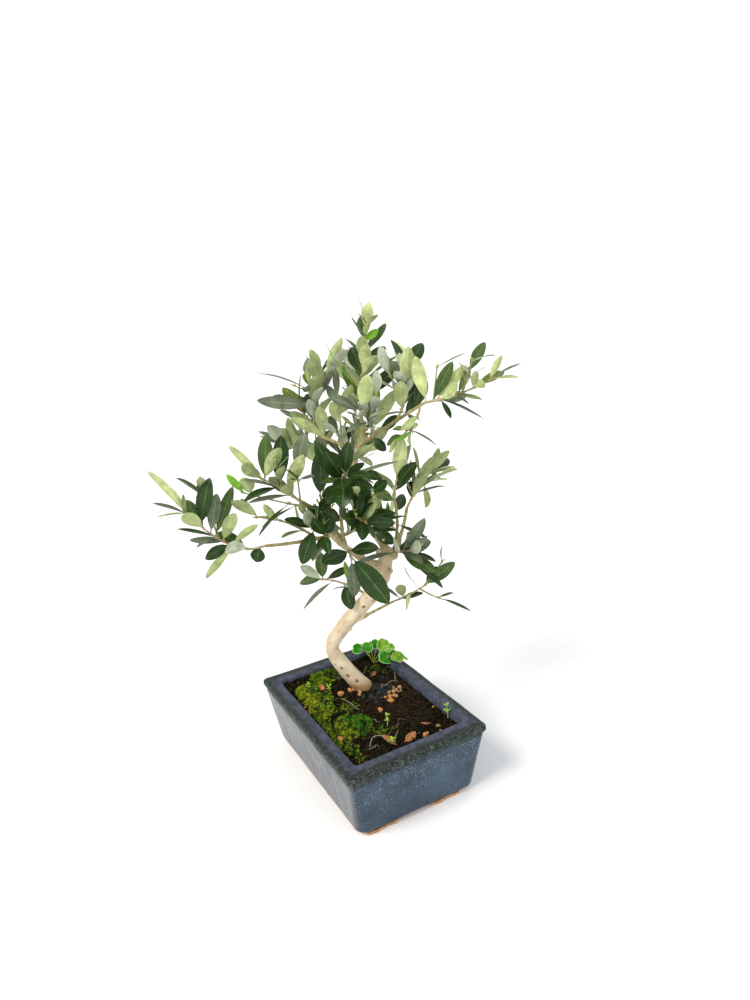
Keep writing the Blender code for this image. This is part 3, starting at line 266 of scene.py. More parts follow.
# The plain leaves on shoots and boughs, and the mass that each lot belongs to
PLAIN_LEAVES = {
    "shoot_far_left": ("foliage_left_shoot", (
        Leaf(1.00, (-9, -3, 14), 5, "front", "tip"), Leaf(1.00, (-13, -3, 8), 3, "up", "tip"),
        Leaf(0.91, (-2, -5, 13), 10, "back", "mid"), Leaf(0.81, (11, -5, 7), 6, "front", "old"),
        Leaf(0.35, (-22, -8, -17), 4, "up", "old"), Leaf(0.23, (-24, -6, -11), 3.5, "up", "silver"))),
    "shoot_left_tip": ("foliage_left_tip", (
        Leaf(0.97, (6, 5, 24), 10, "front", "silver"), Leaf(1.00, (14, -6, 22), 8, "back", "young"),
        Leaf(0.71, (11, -6, 3), 6, "up", "silver"), Leaf(0.58, (8, 6, 19), 8, "front", "old"))),
    "shoot_left_front": ("foliage_left_under", (
        Leaf(1.00, (3, -2, 33), 12, "front", "old"), Leaf(0.73, (11, 6, 9), 9, "front", "old"))),
    "bough_leader": ("foliage_front", (
        Leaf(0.97, (14, -8, 9), 9, "front", "old"), Leaf(0.61, (7, -6, -20), 8, "front", "old"),
        Leaf(0.71, (-10, 4, -12), 9, "front", "old"), Leaf(0.86, (34, -8, 4), 6, "up", "silver"),
        Leaf(0.30, (18, -6, 8), 8, "front", "old"), Leaf(0.42, (20, -4, -4), 6, "up", "silver"),
        Leaf(0.50, (16, -8, 14), 9, "front", "mid"), Leaf(0.80, (19, -6, -6), 7, "front", "old"),
        Leaf(0.22, (13, -9, -8), 9, "front", "old"))),
    "bough_front": ("foliage_front_low", (
        Leaf(0.12, (-14, -8, 10), 8, "front", "old"), Leaf(0.28, (-16, -6, 6), 8, "front", "silver"),
        Leaf(0.42, (-12, -10, 12), 9, "front", "old"), Leaf(0.50, (-20, -6, 14), 7, "front", "old"),
        Leaf(0.60, (-15, -5, 14), 8, "front", "silver"), Leaf(0.75, (12, -8, 8), 9, "front", "old"),
        Leaf(0.34, (14, -6, -8), 8, "front", "old"))),
    "bough_left_middle": ("foliage_left_under", (
        Leaf(0.30, (-14, -6, -4), 8, "front", "silver"), Leaf(0.55, (-16, -6, 10), 8, "front", "silver"),
        Leaf(0.62, (10, -8, 12), 8, "front", "old"), Leaf(0.85, (-15, -5, 12), 8, "front", "old"),
        Leaf(0.40, (13, -6, 9), 8, "front", "mid"))),
    "shoot_middle": ("foliage_front", (
        Leaf(0.97, (11, -3, 7), 8, "front", "old"), Leaf(0.88, (11, -6, -2), 8, "back", "mid"),
        Leaf(0.63, (-10, -2, 11), 9, "front", "old"))),
    "shoot_centre": ("foliage_low_centre", (
        Leaf(0.99, (36, -2, 9), 6, "up", "old"), Leaf(0.87, (30, -7, 2), 6, "up", "old"),
        Leaf(0.56, (14, 6, 11), 9, "front", "old"))),
    "bough_right_inner": ("foliage_right_inner", (
        Leaf(0.47, (20, -8, -9), 5, "up", "old"), Leaf(0.20, (5, -10, -9), 8, "front", "old"),
        Leaf(0.82, (-10, -5, 27), 5, "left", "old"), Leaf(0.70, (6, 5, 11), 8, "front", "old"),
        Leaf(0.59, (-11, -5, 13), 6, "up", "silver"), Leaf(0.30, (-16, -6, 6), 8, "front", "old"),
        Leaf(0.38, (-13, -4, 14), 8, "back", "mid"), Leaf(0.52, (-18, -5, 2), 6, "up", "old"),
        Leaf(0.66, (-15, -6, 9), 8, "front", "old"), Leaf(0.12, (10, -6, 12), 8, "front", "old"),
        Leaf(0.90, (-14, -5, 10), 8, "front", "mid"), Leaf(0.26, (12, -5, 10), 7, "front", "mid"))),
    "shoot_low": ("foliage_low_right", (
        Leaf(0.69, (27, -4, 11), 9, "front", "old"), Leaf(0.99, (0, -1, 12), 2.5, "left", "mid"),
        Leaf(0.32, (-2, -5, -11), 8, "back", "mid"))),
    "shoot_low_inner": ("foliage_low_right", (
        Leaf(0.98, (21, -4, -10), 4, "up", "old"), Leaf(0.88, (11, -2, 4), 4, "up", "mid"))),
    "shoot_right": ("foliage_right_tip", (Leaf(1.00, (18, -3, 8), 3, "up", "silver"),)),
    "bough_right_top": ("foliage_right_side", (
        Leaf(0.56, (16, -5, -4), 4, "up", "silver"), Leaf(0.79, (-16, -6, 1), 5, "up", "silver"),
        Leaf(0.90, (17, -4, 19), 9, "back", "young"), Leaf(0.86, (9, 5, 19), 9, "front", "old"),
        Leaf(0.72, (14, 4, 15), 8, "front", "old"), Leaf(0.62, (11, 4, 18), 8, "front", "old"),
        Leaf(0.46, (16, -3, 10), 8, "back", "mid"), Leaf(0.36, (14, 5, 9), 7, "front", "old"),
        Leaf(0.25, (9, -7, -8), 7, "front", "old"), Leaf(0.66, (13, -4, 8), 6, "up", "silver"))),
    "shoot_top_left": ("foliage_upper_left", (Leaf(1.00, (-32, -3, 15), 5, "up", "silver"),)),
    "shoot_top": ("foliage_upper_left", (
        Leaf(1.00, (0, 2, 20), 5, "front", "silver"), Leaf(0.96, (8, 3, 18), 6, "front", "mid"),
        Leaf(0.84, (-7, 3, 14), 6, "front", "silver"), Leaf(0.71, (11, -3, 18), 7, "back", "mid"),
        Leaf(0.44, (-5, -5, 17), 8, "back", "young"))),
    "bough_upper_left": ("foliage_upper_far", (
        Leaf(0.79, (-22, -8, 17), 8, "back", "young"), Leaf(0.67, (16, -9, 7), 9, "back", "mid"),
        Leaf(0.85, (0, -6, 23), 9, "back", "young"), Leaf(0.97, (-15, -4, -1), 8, "back", "mid"))),
}

# Stems and twigs: their number of points and radii, how far they keep from what is there, where side twigs
# leave the stem, how they stand and hang, and how long they are
STEM_POINTS = 6
STEM_RADIUS = 1.1
STEM_SHARE = 0.8
STEM_TIP_RADIUS = 0.5
TWIG_POINTS = 4
TWIG_RADII = (0.7, STEM_TIP_RADIUS)
TWIG_CORNER = 1.35
TWIG_GAP = 1.2
TWIG_ROOT = 0.2
TWIG_PROBES = 14
TWIG_REACH = 20.0
TWIG_TRIES = 6
TWIG_FROM = 0.25
TWIG_STRETCH = 0.5
TWIG_LOOSE = 0.6
TWIG_TURN = 50
TWIG_SPREAD = (38, 56)
TWIG_RISE = 0.2
TWIG_SAG = (0.0, 0.05)
TWIG_LONG = 6.0
TWIG_LONG_SHARE = (0.35, 0.55)
TWIG_ROLL = 45
GOLDEN_ANGLE = 137.5

# Leaves: gap to their neighbours, the stalk that is left out of that test, where the rim has its points
# and how wide it is there, where the leaf is thickest, the step between two opposite leaves, and how a
# new leaf may stand
LEAF_GAP = 0.35
PETIOLE = 0.16
LEAF_RIM = ((0.3, 0.9), (0.7, 0.88))
LEAF_THICK = 0.5
LEAF_MIDDLE = 0.4
PAIR_APART = 1.0
ROOT_SUNK = 0.5
LEAF_TRIES = 5
LEAF_SPREAD = (38, 56)
LEAF_CLOSING = 16.0
LEAF_RISE = 0.18
LEAF_WIDE_SHARE = (0.31, 0.43)
LEAF_ARCH = 0.07
LEAF_FOLD = (0.05, 0.3)
LEAF_LONG = (0.72, 0.28)
LEAF_LONG_SPREAD = (0.84, 1.12)
LEAF_MIDDLING = (0.25, 0.6)
LEAF_FACE = 0.5
LEAF_NUDGE = 0.4
LEAF_SHRINK = 0.92
LEAF_REACH = 22.0
WOOD_REACH = (0.6, 8.0)
LAST_PAIR = 0.985
PAIR_TURN = 14
MAIN_ARCH = 0.04
MAIN_FOLD = 0.15
MASS_SPACE = 1.1
WOOD_GAP = 0.4
FIRST_PAIR = 0.2
FIRST_TWIG_PAIR = 0.35
PAIR_STEP = 8.0
LEAF_OUTLINE = (0, 2, 4, 5, 3, 1)
LEAF_FACES = np.array([
    (6, LEAF_OUTLINE[k], LEAF_OUTLINE[(k + 1) % 6]) for k in range(6)
] + [
    (7, LEAF_OUTLINE[(k + 1) % 6], LEAF_OUTLINE[k]) for k in range(6)
])
LEAF_EDGES = np.array(sorted({
    tuple(sorted((face[k], face[(k + 1) % 3]))) for face in LEAF_FACES for k in range(3)
}))


def unit(vector):
    return vector / np.linalg.norm(vector)


def run_along(line):
    """How far along the line each of its points lies."""
    return np.concatenate([[0.0], np.cumsum(np.linalg.norm(np.diff(line, axis=0), axis=1))])


def turns_round(count):
    """Angles evenly round a circle."""
    return np.linspace(0.0, 2.0 * math.pi, count, endpoint=False)


def beside(along):
    """The two ways square to a limb's own: one level, one upwards."""
    side = unit(np.cross(along, ALMOST_UP))
    return side, np.cross(side, along)


def blend(first, second, share):
    """Numbers that lie between two rows of numbers, from the first at 0 to the second at 1."""
    return tuple(a + share * (b - a) for a, b in zip(first, second))


def arch(start, reach, bow, count):
    """Points of a limb that ends a reach away from its start, bowed at its middle."""
    t = np.linspace(0.0, 1.0, count)[:, None]
    return np.array(start, float) + np.array(reach, float) * t + 4.0 * np.array(bow, float) * t * (1.0 - t)


def smooth_line(points, per_span):
    """Catmull-Rom curve through the points."""
    knots = np.array(points, float)
    knots = np.vstack([2 * knots[0] - knots[1], knots, 2 * knots[-1] - knots[-2]])
    line = []
    for i in range(1, len(knots) - 2):
        a, b, c, d = knots[i - 1:i + 3]
        for k in range(per_span):
            t = k / per_span
            line.append(0.5 * (2 * b + (c - a) * t + (2 * a - 5 * b + 4 * c - d) * t ** 2
                               + (3 * b - a - 3 * c + d) * t ** 3))
    line.append(knots[-2])
    return np.array(line)


class Limb:
    """A tapering tube: its centre line, the radius at each of its points, and the way its foot faces."""

    def __init__(self, path, radii, foot_way=None):
        self.path = np.array(path)
        self.radii = np.array(radii, float)
        self.foot_way = self.path[1] - self.path[0] if foot_way is None else np.array(foot_way, float)
        self.run = run_along(self.path)
        self.length = self.run[-1]

    def point(self, at):
        return np.array([np.interp(at * self.length, self.run, self.path[:, k]) for k in range(3)])

    def radius(self, at):
        return float(np.interp(at * self.length, self.run, self.radii))

    def along(self, at):
        return unit(self.point(min(1.0, at + NEAR)) - self.point(max(0.0, at - NEAR)))

    def parts(self, corner=1.0):
        """One row for each straight part: its two ends and its two radii, out to its corners."""
        radii = corner * self.radii
        return np.column_stack([self.path[:-1], self.path[1:], radii[:-1], radii[1:]])


def gap_to(points, parts):
    """Shortest way from each point to the surface of any of the tube parts."""
    a, b, ra, rb = parts[:, :3], parts[:, 3:6], parts[:, 6], parts[:, 7]
    ab = b - a
    t = np.clip(((points[:, None] - a) * ab).sum(-1) / (ab * ab).sum(-1), 0.0, 1.0)
    near = a + t[..., None] * ab
    return (np.linalg.norm(points[:, None] - near, axis=-1) - ra - t * (rb - ra)).min(axis=1)


def gap_to_limb(points, limb):
    """Shortest way from each point to the limb, whose tip is cut flat."""
    way = unit(limb.path[-1] - limb.path[-2])
    past = (points - limb.path[-1]) @ way
    across = np.linalg.norm(points - limb.path[-1] - past[:, None] * way, axis=1) - limb.radii[-1]
    return np.where(past > 0.0, np.hypot(past, np.maximum(across, 0.0)), gap_to(points, limb.parts()))


def cut_clear(limb, parent):
    """The limb without its first stretch inside its parent, so that its end face stands clear of it."""
    turns = turns_round(CUT_POINTS)[:, None]
    for at in np.linspace(0.0, CUT_LAST, CUT_STEPS):
        along = limb.along(at)
        side = unit(np.cross(along, CUT_SIDE))
        up = np.cross(along, side)
        ring = limb.radius(at) * (np.cos(turns) * side + np.sin(turns) * up)
        disc = limb.point(at) + np.vstack([ring, 0.5 * ring, 0.0 * ring[:1]])
        if gap_to_limb(disc, parent).min() > CLEAR:
            break
    keep = limb.run / limb.length > at + NEAR
    path = np.vstack([limb.point(at), limb.path[keep]])
    return Limb(path, np.concatenate([[limb.radius(at)], limb.radii[keep]]))


def grow_on(parent, at, reach, bow, radii, count):
    """A limb that leaves its parent part of the way along it, or goes on from its tip."""
    limb = Limb(arch(parent.point(at), reach, bow, count), np.linspace(radii[0], radii[1], count))
    if at < 1.0:
        return cut_clear(limb, parent)
    foot_way = unit(parent.path[-1] - parent.path[-2])
    path = limb.path.copy()
    path[0] += CLEAR * foot_way
    return Limb(path, limb.radii, foot_way)


def grow_limbs():
    """The trunk, with a flare at its foot, and the boughs in the order that they leave each other."""
    line = smooth_line(TRUNK_LINE, TRUNK_SPAN_STEPS) + np.array(TRUNK_FOOT)
    spans = np.linspace(0, len(TRUNK_RADII) - 1, len(line))
    radii = np.interp(spans, range(len(TRUNK_RADII)), TRUNK_RADII)
    radii += FLARE * np.exp((line[0, 2] - line[:, 2]) / FLARE_HIGH)
    limbs = {"trunk": Limb(line, radii, foot_way=(0.0, 0.0, 1.0))}
    for name, bough in BOUGHS.items():
        limbs[name] = grow_on(limbs[bough.on], bough.at, bough.reach, bough.bow, bough.thick, BOUGH_POINTS)
    return limbs


Blade = namedtuple("Blade", "base axis face length wide arching fold")


def make_blade(limb, at, axis, face, length, wide, arching, fold):
    """A leaf whose root is sunk past the middle of its twig."""
    axis = unit(np.array(axis, float))
    face = np.array(face, float)
    face = unit(face - axis * (face @ axis))
    sunk = ROOT_SUNK * limb.radius(at)
    return Blade(limb.point(at) - sunk * axis, axis, face, length + sunk, wide, arching, fold)


def leaf_corners(blade, grow=0.0, root_at=0.0):
    """The root, two rim points a side, the tip, and the middle above and below."""
    side = np.cross(blade.axis, blade.face)
    half = 0.5 * blade.wide + grow

    def at(t, across, lift):
        arching = 4.0 * blade.arching * blade.length * t * (1.0 - t)
        return blade.base + blade.axis * blade.length * t + side * across + blade.face * (arching + lift)

    rim = []
    for t, share in LEAF_RIM:
        edge = share * half
        rim += [at(t, -edge, blade.fold * edge), at(t, edge, blade.fold * edge)]
    thick = 0.5 * LEAF_THICK + grow
    return np.array([
        at(root_at, 0.0, 0.0), *rim, at(1.0 + grow / blade.length, 0.0, 0.0),
        at(LEAF_MIDDLE, 0.0, thick), at(LEAF_MIDDLE, 0.0, -thick),
    ])


def crossing(starts, ends, corners):
    """Whether any of the segments passes through any of the triangles."""
    a, b, c = corners[:, 0], corners[:, 1], corners[:, 2]
    e1, e2 = b - a, c - a
    way = (ends - starts)[:, None]
    h = np.cross(way, e2)
    det = (e1 * h).sum(-1)
    inverse = 1.0 / np.where(np.abs(det) > 1e-12, det, np.inf)
    s = starts[:, None] - a
    u = inverse * (s * h).sum(-1)
    q = np.cross(s, e1)
    v = inverse * (way * q).sum(-1)
    t = inverse * (e2 * q).sum(-1)
    return bool(((det != 0) & (u > 0) & (v > 0) & (u + v < 1) & (t > 0) & (t < 1)).any())


class Growth:
    """What has grown so far, and the test that a new twig or leaf touches none of it.

    Leaves of one mass may meet where their stalks start, so the test leaves out that stretch of them.
    """

    def __init__(self, limbs):
        self.owners = []
        self.parts = np.zeros((0, 8))
        self.leaf_owners = []
        self.leaf_shapes = []
        self.leaf_centres = []
        self.stems = {}
        self.twigs = {}
        self.leaves = {}
        self.nodes = {}
        for name, limb in limbs.items():
            self.add_wood(name, limb, corner=1.0)

    def add_wood(self, owner, limb, corner=TWIG_CORNER):
        self.owners += [owner] * (len(limb.path) - 1)
        self.parts = np.vstack([self.parts, limb.parts(corner)])

    def close_leaves(self, name, centre, reach, same):
        """Shapes of the near leaves of the same mass, without their stalks, or of the other masses."""
        if not self.leaf_centres:
            return []
        gaps = np.linalg.norm(np.array(self.leaf_centres) - centre, axis=1)
        near = [i for i in np.nonzero(gaps < reach)[0] if (self.leaf_owners[i] == name) == same]
        return [self.leaf_shapes[i][same] for i in near]

    def twig_is_free(self, name, limb, root=TWIG_ROOT, count=TWIG_PROBES, gap=TWIG_GAP):
        """A twig keeps clear of leaves, and from its root outwards of other limbs."""
        fine = np.array([limb.point(t) for t in np.linspace(root, 1.0, count)])
        if gap_to(fine, self.parts).min() < gap:
            return False
        for same in (False, True):
            shapes = self.close_leaves(name, fine.mean(axis=0), 0.5 * limb.length + TWIG_REACH, same)
            if shapes:
                triangles = np.concatenate([shape[LEAF_FACES] for shape in shapes])
                if crossing(limb.path[:-1], limb.path[1:], triangles):
                    return False
        return True

    def leaf_is_free(self, name, own, shapes, length):
        """A leaf keeps clear of other leaves, other limbs, and all but the root of its own twig."""
        corners = shapes[False]
        centre = corners.mean(axis=0)
        span = np.linalg.norm(self.parts[:, 3:6] - self.parts[:, :3], axis=1)
        reach = WOOD_REACH[0] * length + span + WOOD_REACH[1]
        close = np.linalg.norm(self.parts[:, :3] - centre, axis=1) < reach
        mine = np.array([owner == own for owner in self.owners])
        rim = corners[1:]
        between = ((0, 1), (2, 3), (4, 2), (4, 3), (0, 2), (1, 3))
        probes = np.vstack([rim, *[0.5 * (rim[i] + rim[j]) for i, j in between]])
        triangles = corners[LEAF_FACES]
        wood = self.parts[close & ~mine]
        if len(wood) and gap_to(probes, wood).min() < WOOD_GAP:
            return False
        if len(wood) and crossing(wood[:, :3], wood[:, 3:6], triangles):
            return False
        wood = self.parts[close & mine]
        if len(wood) and gap_to(probes[2:7], wood).min() < WOOD_GAP:
            return False
        for same in (False, True):
            others = self.close_leaves(name, centre, 0.5 * length + LEAF_REACH, same)
            if others:
                edges = shapes[same][LEAF_EDGES]
                other_faces = np.concatenate([other[LEAF_FACES] for other in others])
                other_edges = np.concatenate([other[LEAF_EDGES] for other in others])
                if crossing(edges[:, 0], edges[:, 1], other_faces):
                    return False
                if crossing(other_edges[:, 0], other_edges[:, 1], shapes[same][LEAF_FACES]):
                    return False
        return True

    def add_leaf(self, name, own, blade, age=None):
        shapes = (leaf_corners(blade, LEAF_GAP), leaf_corners(blade, LEAF_GAP, root_at=PETIOLE))
        if not self.leaf_is_free(name, own, shapes, blade.length):
            return False
        self.leaf_owners.append(name)
        self.leaf_shapes.append(shapes)
        self.leaf_centres.append(shapes[0].mean(axis=0))
        self.leaves[name].append((own, blade, age))
        return True


def make_twig(parent, at, turn, lean, length, sag, radii):
    """A twig that leans out of its parent on the side of the turn and rises a little; angles in degrees."""
    along = parent.along(at)
    side, up = beside(along)
    turn = math.radians(turn)
    lean = math.radians(lean)
    way = math.cos(lean) * along + math.sin(lean) * (math.cos(turn) * side + math.sin(turn) * up)
    reach = unit(way + np.array((0.0, 0.0, TWIG_RISE))) * length
    drop = sag[0] + sag[1] * np.linalg.norm(reach)
    path = arch(parent.point(at), reach, (0.0, 0.0, -drop), TWIG_POINTS)
    return Limb(path, np.linspace(*radii, TWIG_POINTS))


def grow_twigs(growth, name, mass, stem, rng):
    """Side twigs spiral up the stem by the golden angle; one that would touch something is left out."""
    shoots = []
    for k in range(mass.twigs):
        at = TWIG_FROM + TWIG_STRETCH * (k + rng.uniform(0.0, TWIG_LOOSE)) / mass.twigs
        shoots.append(None)
        for _ in range(TWIG_TRIES):
            twig = make_twig(
                stem, at, mass.roll + QUARTER + GOLDEN_ANGLE * k + rng.uniform(-TWIG_TURN, TWIG_TURN),
                rng.uniform(*TWIG_SPREAD), TWIG_LONG + stem.length * rng.uniform(*TWIG_LONG_SHARE),
                TWIG_SAG, TWIG_RADII)
            if growth.twig_is_free(name, twig):
                shoots[k] = twig
                growth.add_wood(f"{name}.{k + 1}", twig)
                break
    return shoots


def pairs_on(twig):
    """How many pairs of leaves a side twig has room for."""
    return max(2, round(twig.length / PAIR_STEP))


def grow_pairs(growth, name, own, limb, pairs, size, roll, first, stem, rng):
    """Opposite leaf pairs, each a quarter turn from the one before, closing up towards the tip."""
    for k in range(pairs):
        at = min(LAST_PAIR, first + (1.0 - first) * k / max(1, pairs - 1))
        growth.nodes.setdefault(id(limb), []).append(at)
        along = limb.along(at)
        side, up = beside(along)
        turn = math.radians(roll + QUARTER * k + rng.uniform(-PAIR_TURN, PAIR_TURN))
        for half in range(2):
            angle = turn + math.pi * half
            out = math.cos(angle) * side + math.sin(angle) * up
            lean = math.radians(rng.uniform(*LEAF_SPREAD) - LEAF_CLOSING * at)
            axis = math.cos(lean) * along + math.sin(lean) * out + np.array((0.0, 0.0, LEAF_RISE))
            middling = math.sin(math.pi * (LEAF_MIDDLING[0] + LEAF_MIDDLING[1] * at))
            length = size * (LEAF_LONG[0] + LEAF_LONG[1] * middling) * rng.uniform(*LEAF_LONG_SPREAD)
            wide = length * rng.uniform(*LEAF_WIDE_SHARE)
            arching = rng.uniform(0.0, LEAF_ARCH)
            fold = rng.uniform(*LEAF_FOLD)
            face = along + np.array((0.0, 0.0, LEAF_FACE))
            face = face + rng.uniform(-LEAF_FACE, LEAF_FACE) * np.cross(out, along)
            for _ in range(LEAF_TRIES):
                blade = make_blade(limb, at - half * PAIR_APART / limb.length, axis, face,
                                   length, wide, arching, fold)
                tip = blade.base + blade.axis * length
                inside = gap_to(tip[None], stem.parts())[0] < MASS_SPACE * size
                if inside and growth.add_leaf(name, own, blade):
                    break
                axis = axis + LEAF_NUDGE * np.array([rng.uniform(-1, 1) for _ in range(3)])
                length *= LEAF_SHRINK
                wide *= LEAF_SHRINK


def grow_stems(limbs):
    """Every stem, shoot and plain leaf comes before the rest, so that nothing stands in their way."""
    growth = Growth(limbs)
    places = dict(limbs)
    for name, mass in MASSES.items():
        parent = limbs[mass.on]
        radii = (min(STEM_RADIUS, STEM_SHARE * parent.radius(mass.at)), STEM_TIP_RADIUS)
        stem = grow_on(parent, mass.at, mass.reach, mass.bow, radii, STEM_POINTS)
        growth.stems[name] = places[name] = stem
        growth.twigs[name] = {f"{name}.0": stem}
        growth.leaves[name] = []
        growth.add_wood(f"{name}.0", stem)
    for name, shoot in SHOOTS.items():
        path = arch(places[shoot.on].point(shoot.at), shoot.reach, SHOOT_BOW, STEM_POINTS)
        places[name] = Limb(path, np.linspace(*SHOOT_RADII, STEM_POINTS))
        growth.twigs[shoot.mass][name] = places[name]
        growth.add_wood(name, places[name], corner=1.0)
    for name, mass in MASSES.items():
        grow_plain(growth, name, f"{name}.0", places[name], mass.main)
    for own, (name, leaves) in PLAIN_LEAVES.items():
        grow_plain(growth, name, own, places[own], leaves)
    return growth


def grow_plain(growth, name, own, limb, leaves):
    """The leaves that show plainest in the photo, placed one by one."""
    for leaf in leaves:
        length = float(np.linalg.norm(leaf.reach))
        face = LOOKS[leaf.looks]
        blade = make_blade(limb, leaf.at, leaf.reach, face, length, leaf.wide, MAIN_ARCH, MAIN_FOLD)
        if growth.add_leaf(name, own, blade, leaf.age):
            growth.nodes.setdefault(id(limb), []).append(leaf.at)


def grow_mass(growth, name, mass):
    rng = random.Random(mass.seed)
    stem = growth.stems[name]
    shoots = grow_twigs(growth, name, mass, stem, rng)
    grow_pairs(growth, name, f"{name}.0", stem, mass.pairs, mass.leaf, mass.roll, FIRST_PAIR, stem, rng)
    for k, twig in enumerate(shoots):
        if twig is not None:
            own = f"{name}.{k + 1}"
            growth.twigs[name][own] = twig
            grow_pairs(growth, name, own, twig, pairs_on(twig), mass.leaf, mass.roll + TWIG_ROLL,
                       FIRST_TWIG_PAIR, stem, rng)


def grow_crown(limbs):
    growth = grow_stems(limbs)
    for name, mass in MASSES.items():
        grow_mass(growth, name, mass)
    return growth


def set_camera():
    """The photo's view: turned with the tree, dipped and rolled."""
    turn = Matrix.Rotation(TREE_TURN, 3, "Z")
    right = turn @ Vector((1.0, 0.0, 0.0))
    ahead = turn @ Vector((0.0, math.cos(CAMERA_DIP), -math.sin(CAMERA_DIP)))
    up = right.cross(ahead)
    side = math.cos(CAMERA_ROLL) * right - math.sin(CAMERA_ROLL) * up
    above = math.cos(CAMERA_ROLL) * up + math.sin(CAMERA_ROLL) * right
    camera = bpy.data.objects.new("camera", bpy.data.cameras.new("camera"))
    axes = Matrix((side, above, -ahead)).transposed().to_4x4()
    camera.matrix_world = Matrix.Translation(turn @ Vector(CAMERA_AT) * MM) @ axes
    camera.data.lens = CAMERA_LENS
    camera.data.sensor_width = CAMERA_FRAME
    bpy.context.scene.collection.objects.link(camera)
    bpy.context.scene.camera = camera


def set_light():
    scene = bpy.context.scene
    scene.view_settings.view_transform = "Standard"
    world = bpy.data.worlds.new("sky")
    world.use_nodes = True
    tree = world.node_tree
    way = tree.nodes.new("ShaderNodeSeparateXYZ")
    tree.links.new(tree.nodes.new("ShaderNodeTexCoord").outputs["Generated"], way.inputs[0])
    rise = tree.nodes.new("ShaderNodeMapRange")
    rise.inputs["From Min"].default_value, rise.inputs["From Max"].default_value = SKY_RISE
    tree.links.new(way.outputs["Z"], rise.inputs["Value"])
    sky = tree.nodes.new("ShaderNodeMix")
    sky.data_type = "RGBA"
    tree.links.new(rise.outputs["Result"], sky.inputs["Factor"])
    sky.inputs["A"].default_value = (*SKY_LOW, 1.0)
    sky.inputs["B"].default_value = (*SKY_HIGH, 1.0)
    tree.links.new(sky.outputs["Result"], tree.nodes["Background"].inputs["Color"])
    scene.world = world
    turn = Matrix.Rotation(TREE_TURN, 3, "Z")
    for name, (strength, colour, width, comes_from) in SUNS.items():
        sun = bpy.data.lights.new(name, "SUN")
        sun.energy = strength
        sun.color = colour
        sun.angle = math.radians(width)
        lamp = bpy.data.objects.new(name, sun)
        lamp.rotation_euler = (turn @ Vector(comes_from)).to_track_quat("Z", "Y").to_euler()
        scene.collection.objects.link(lamp)


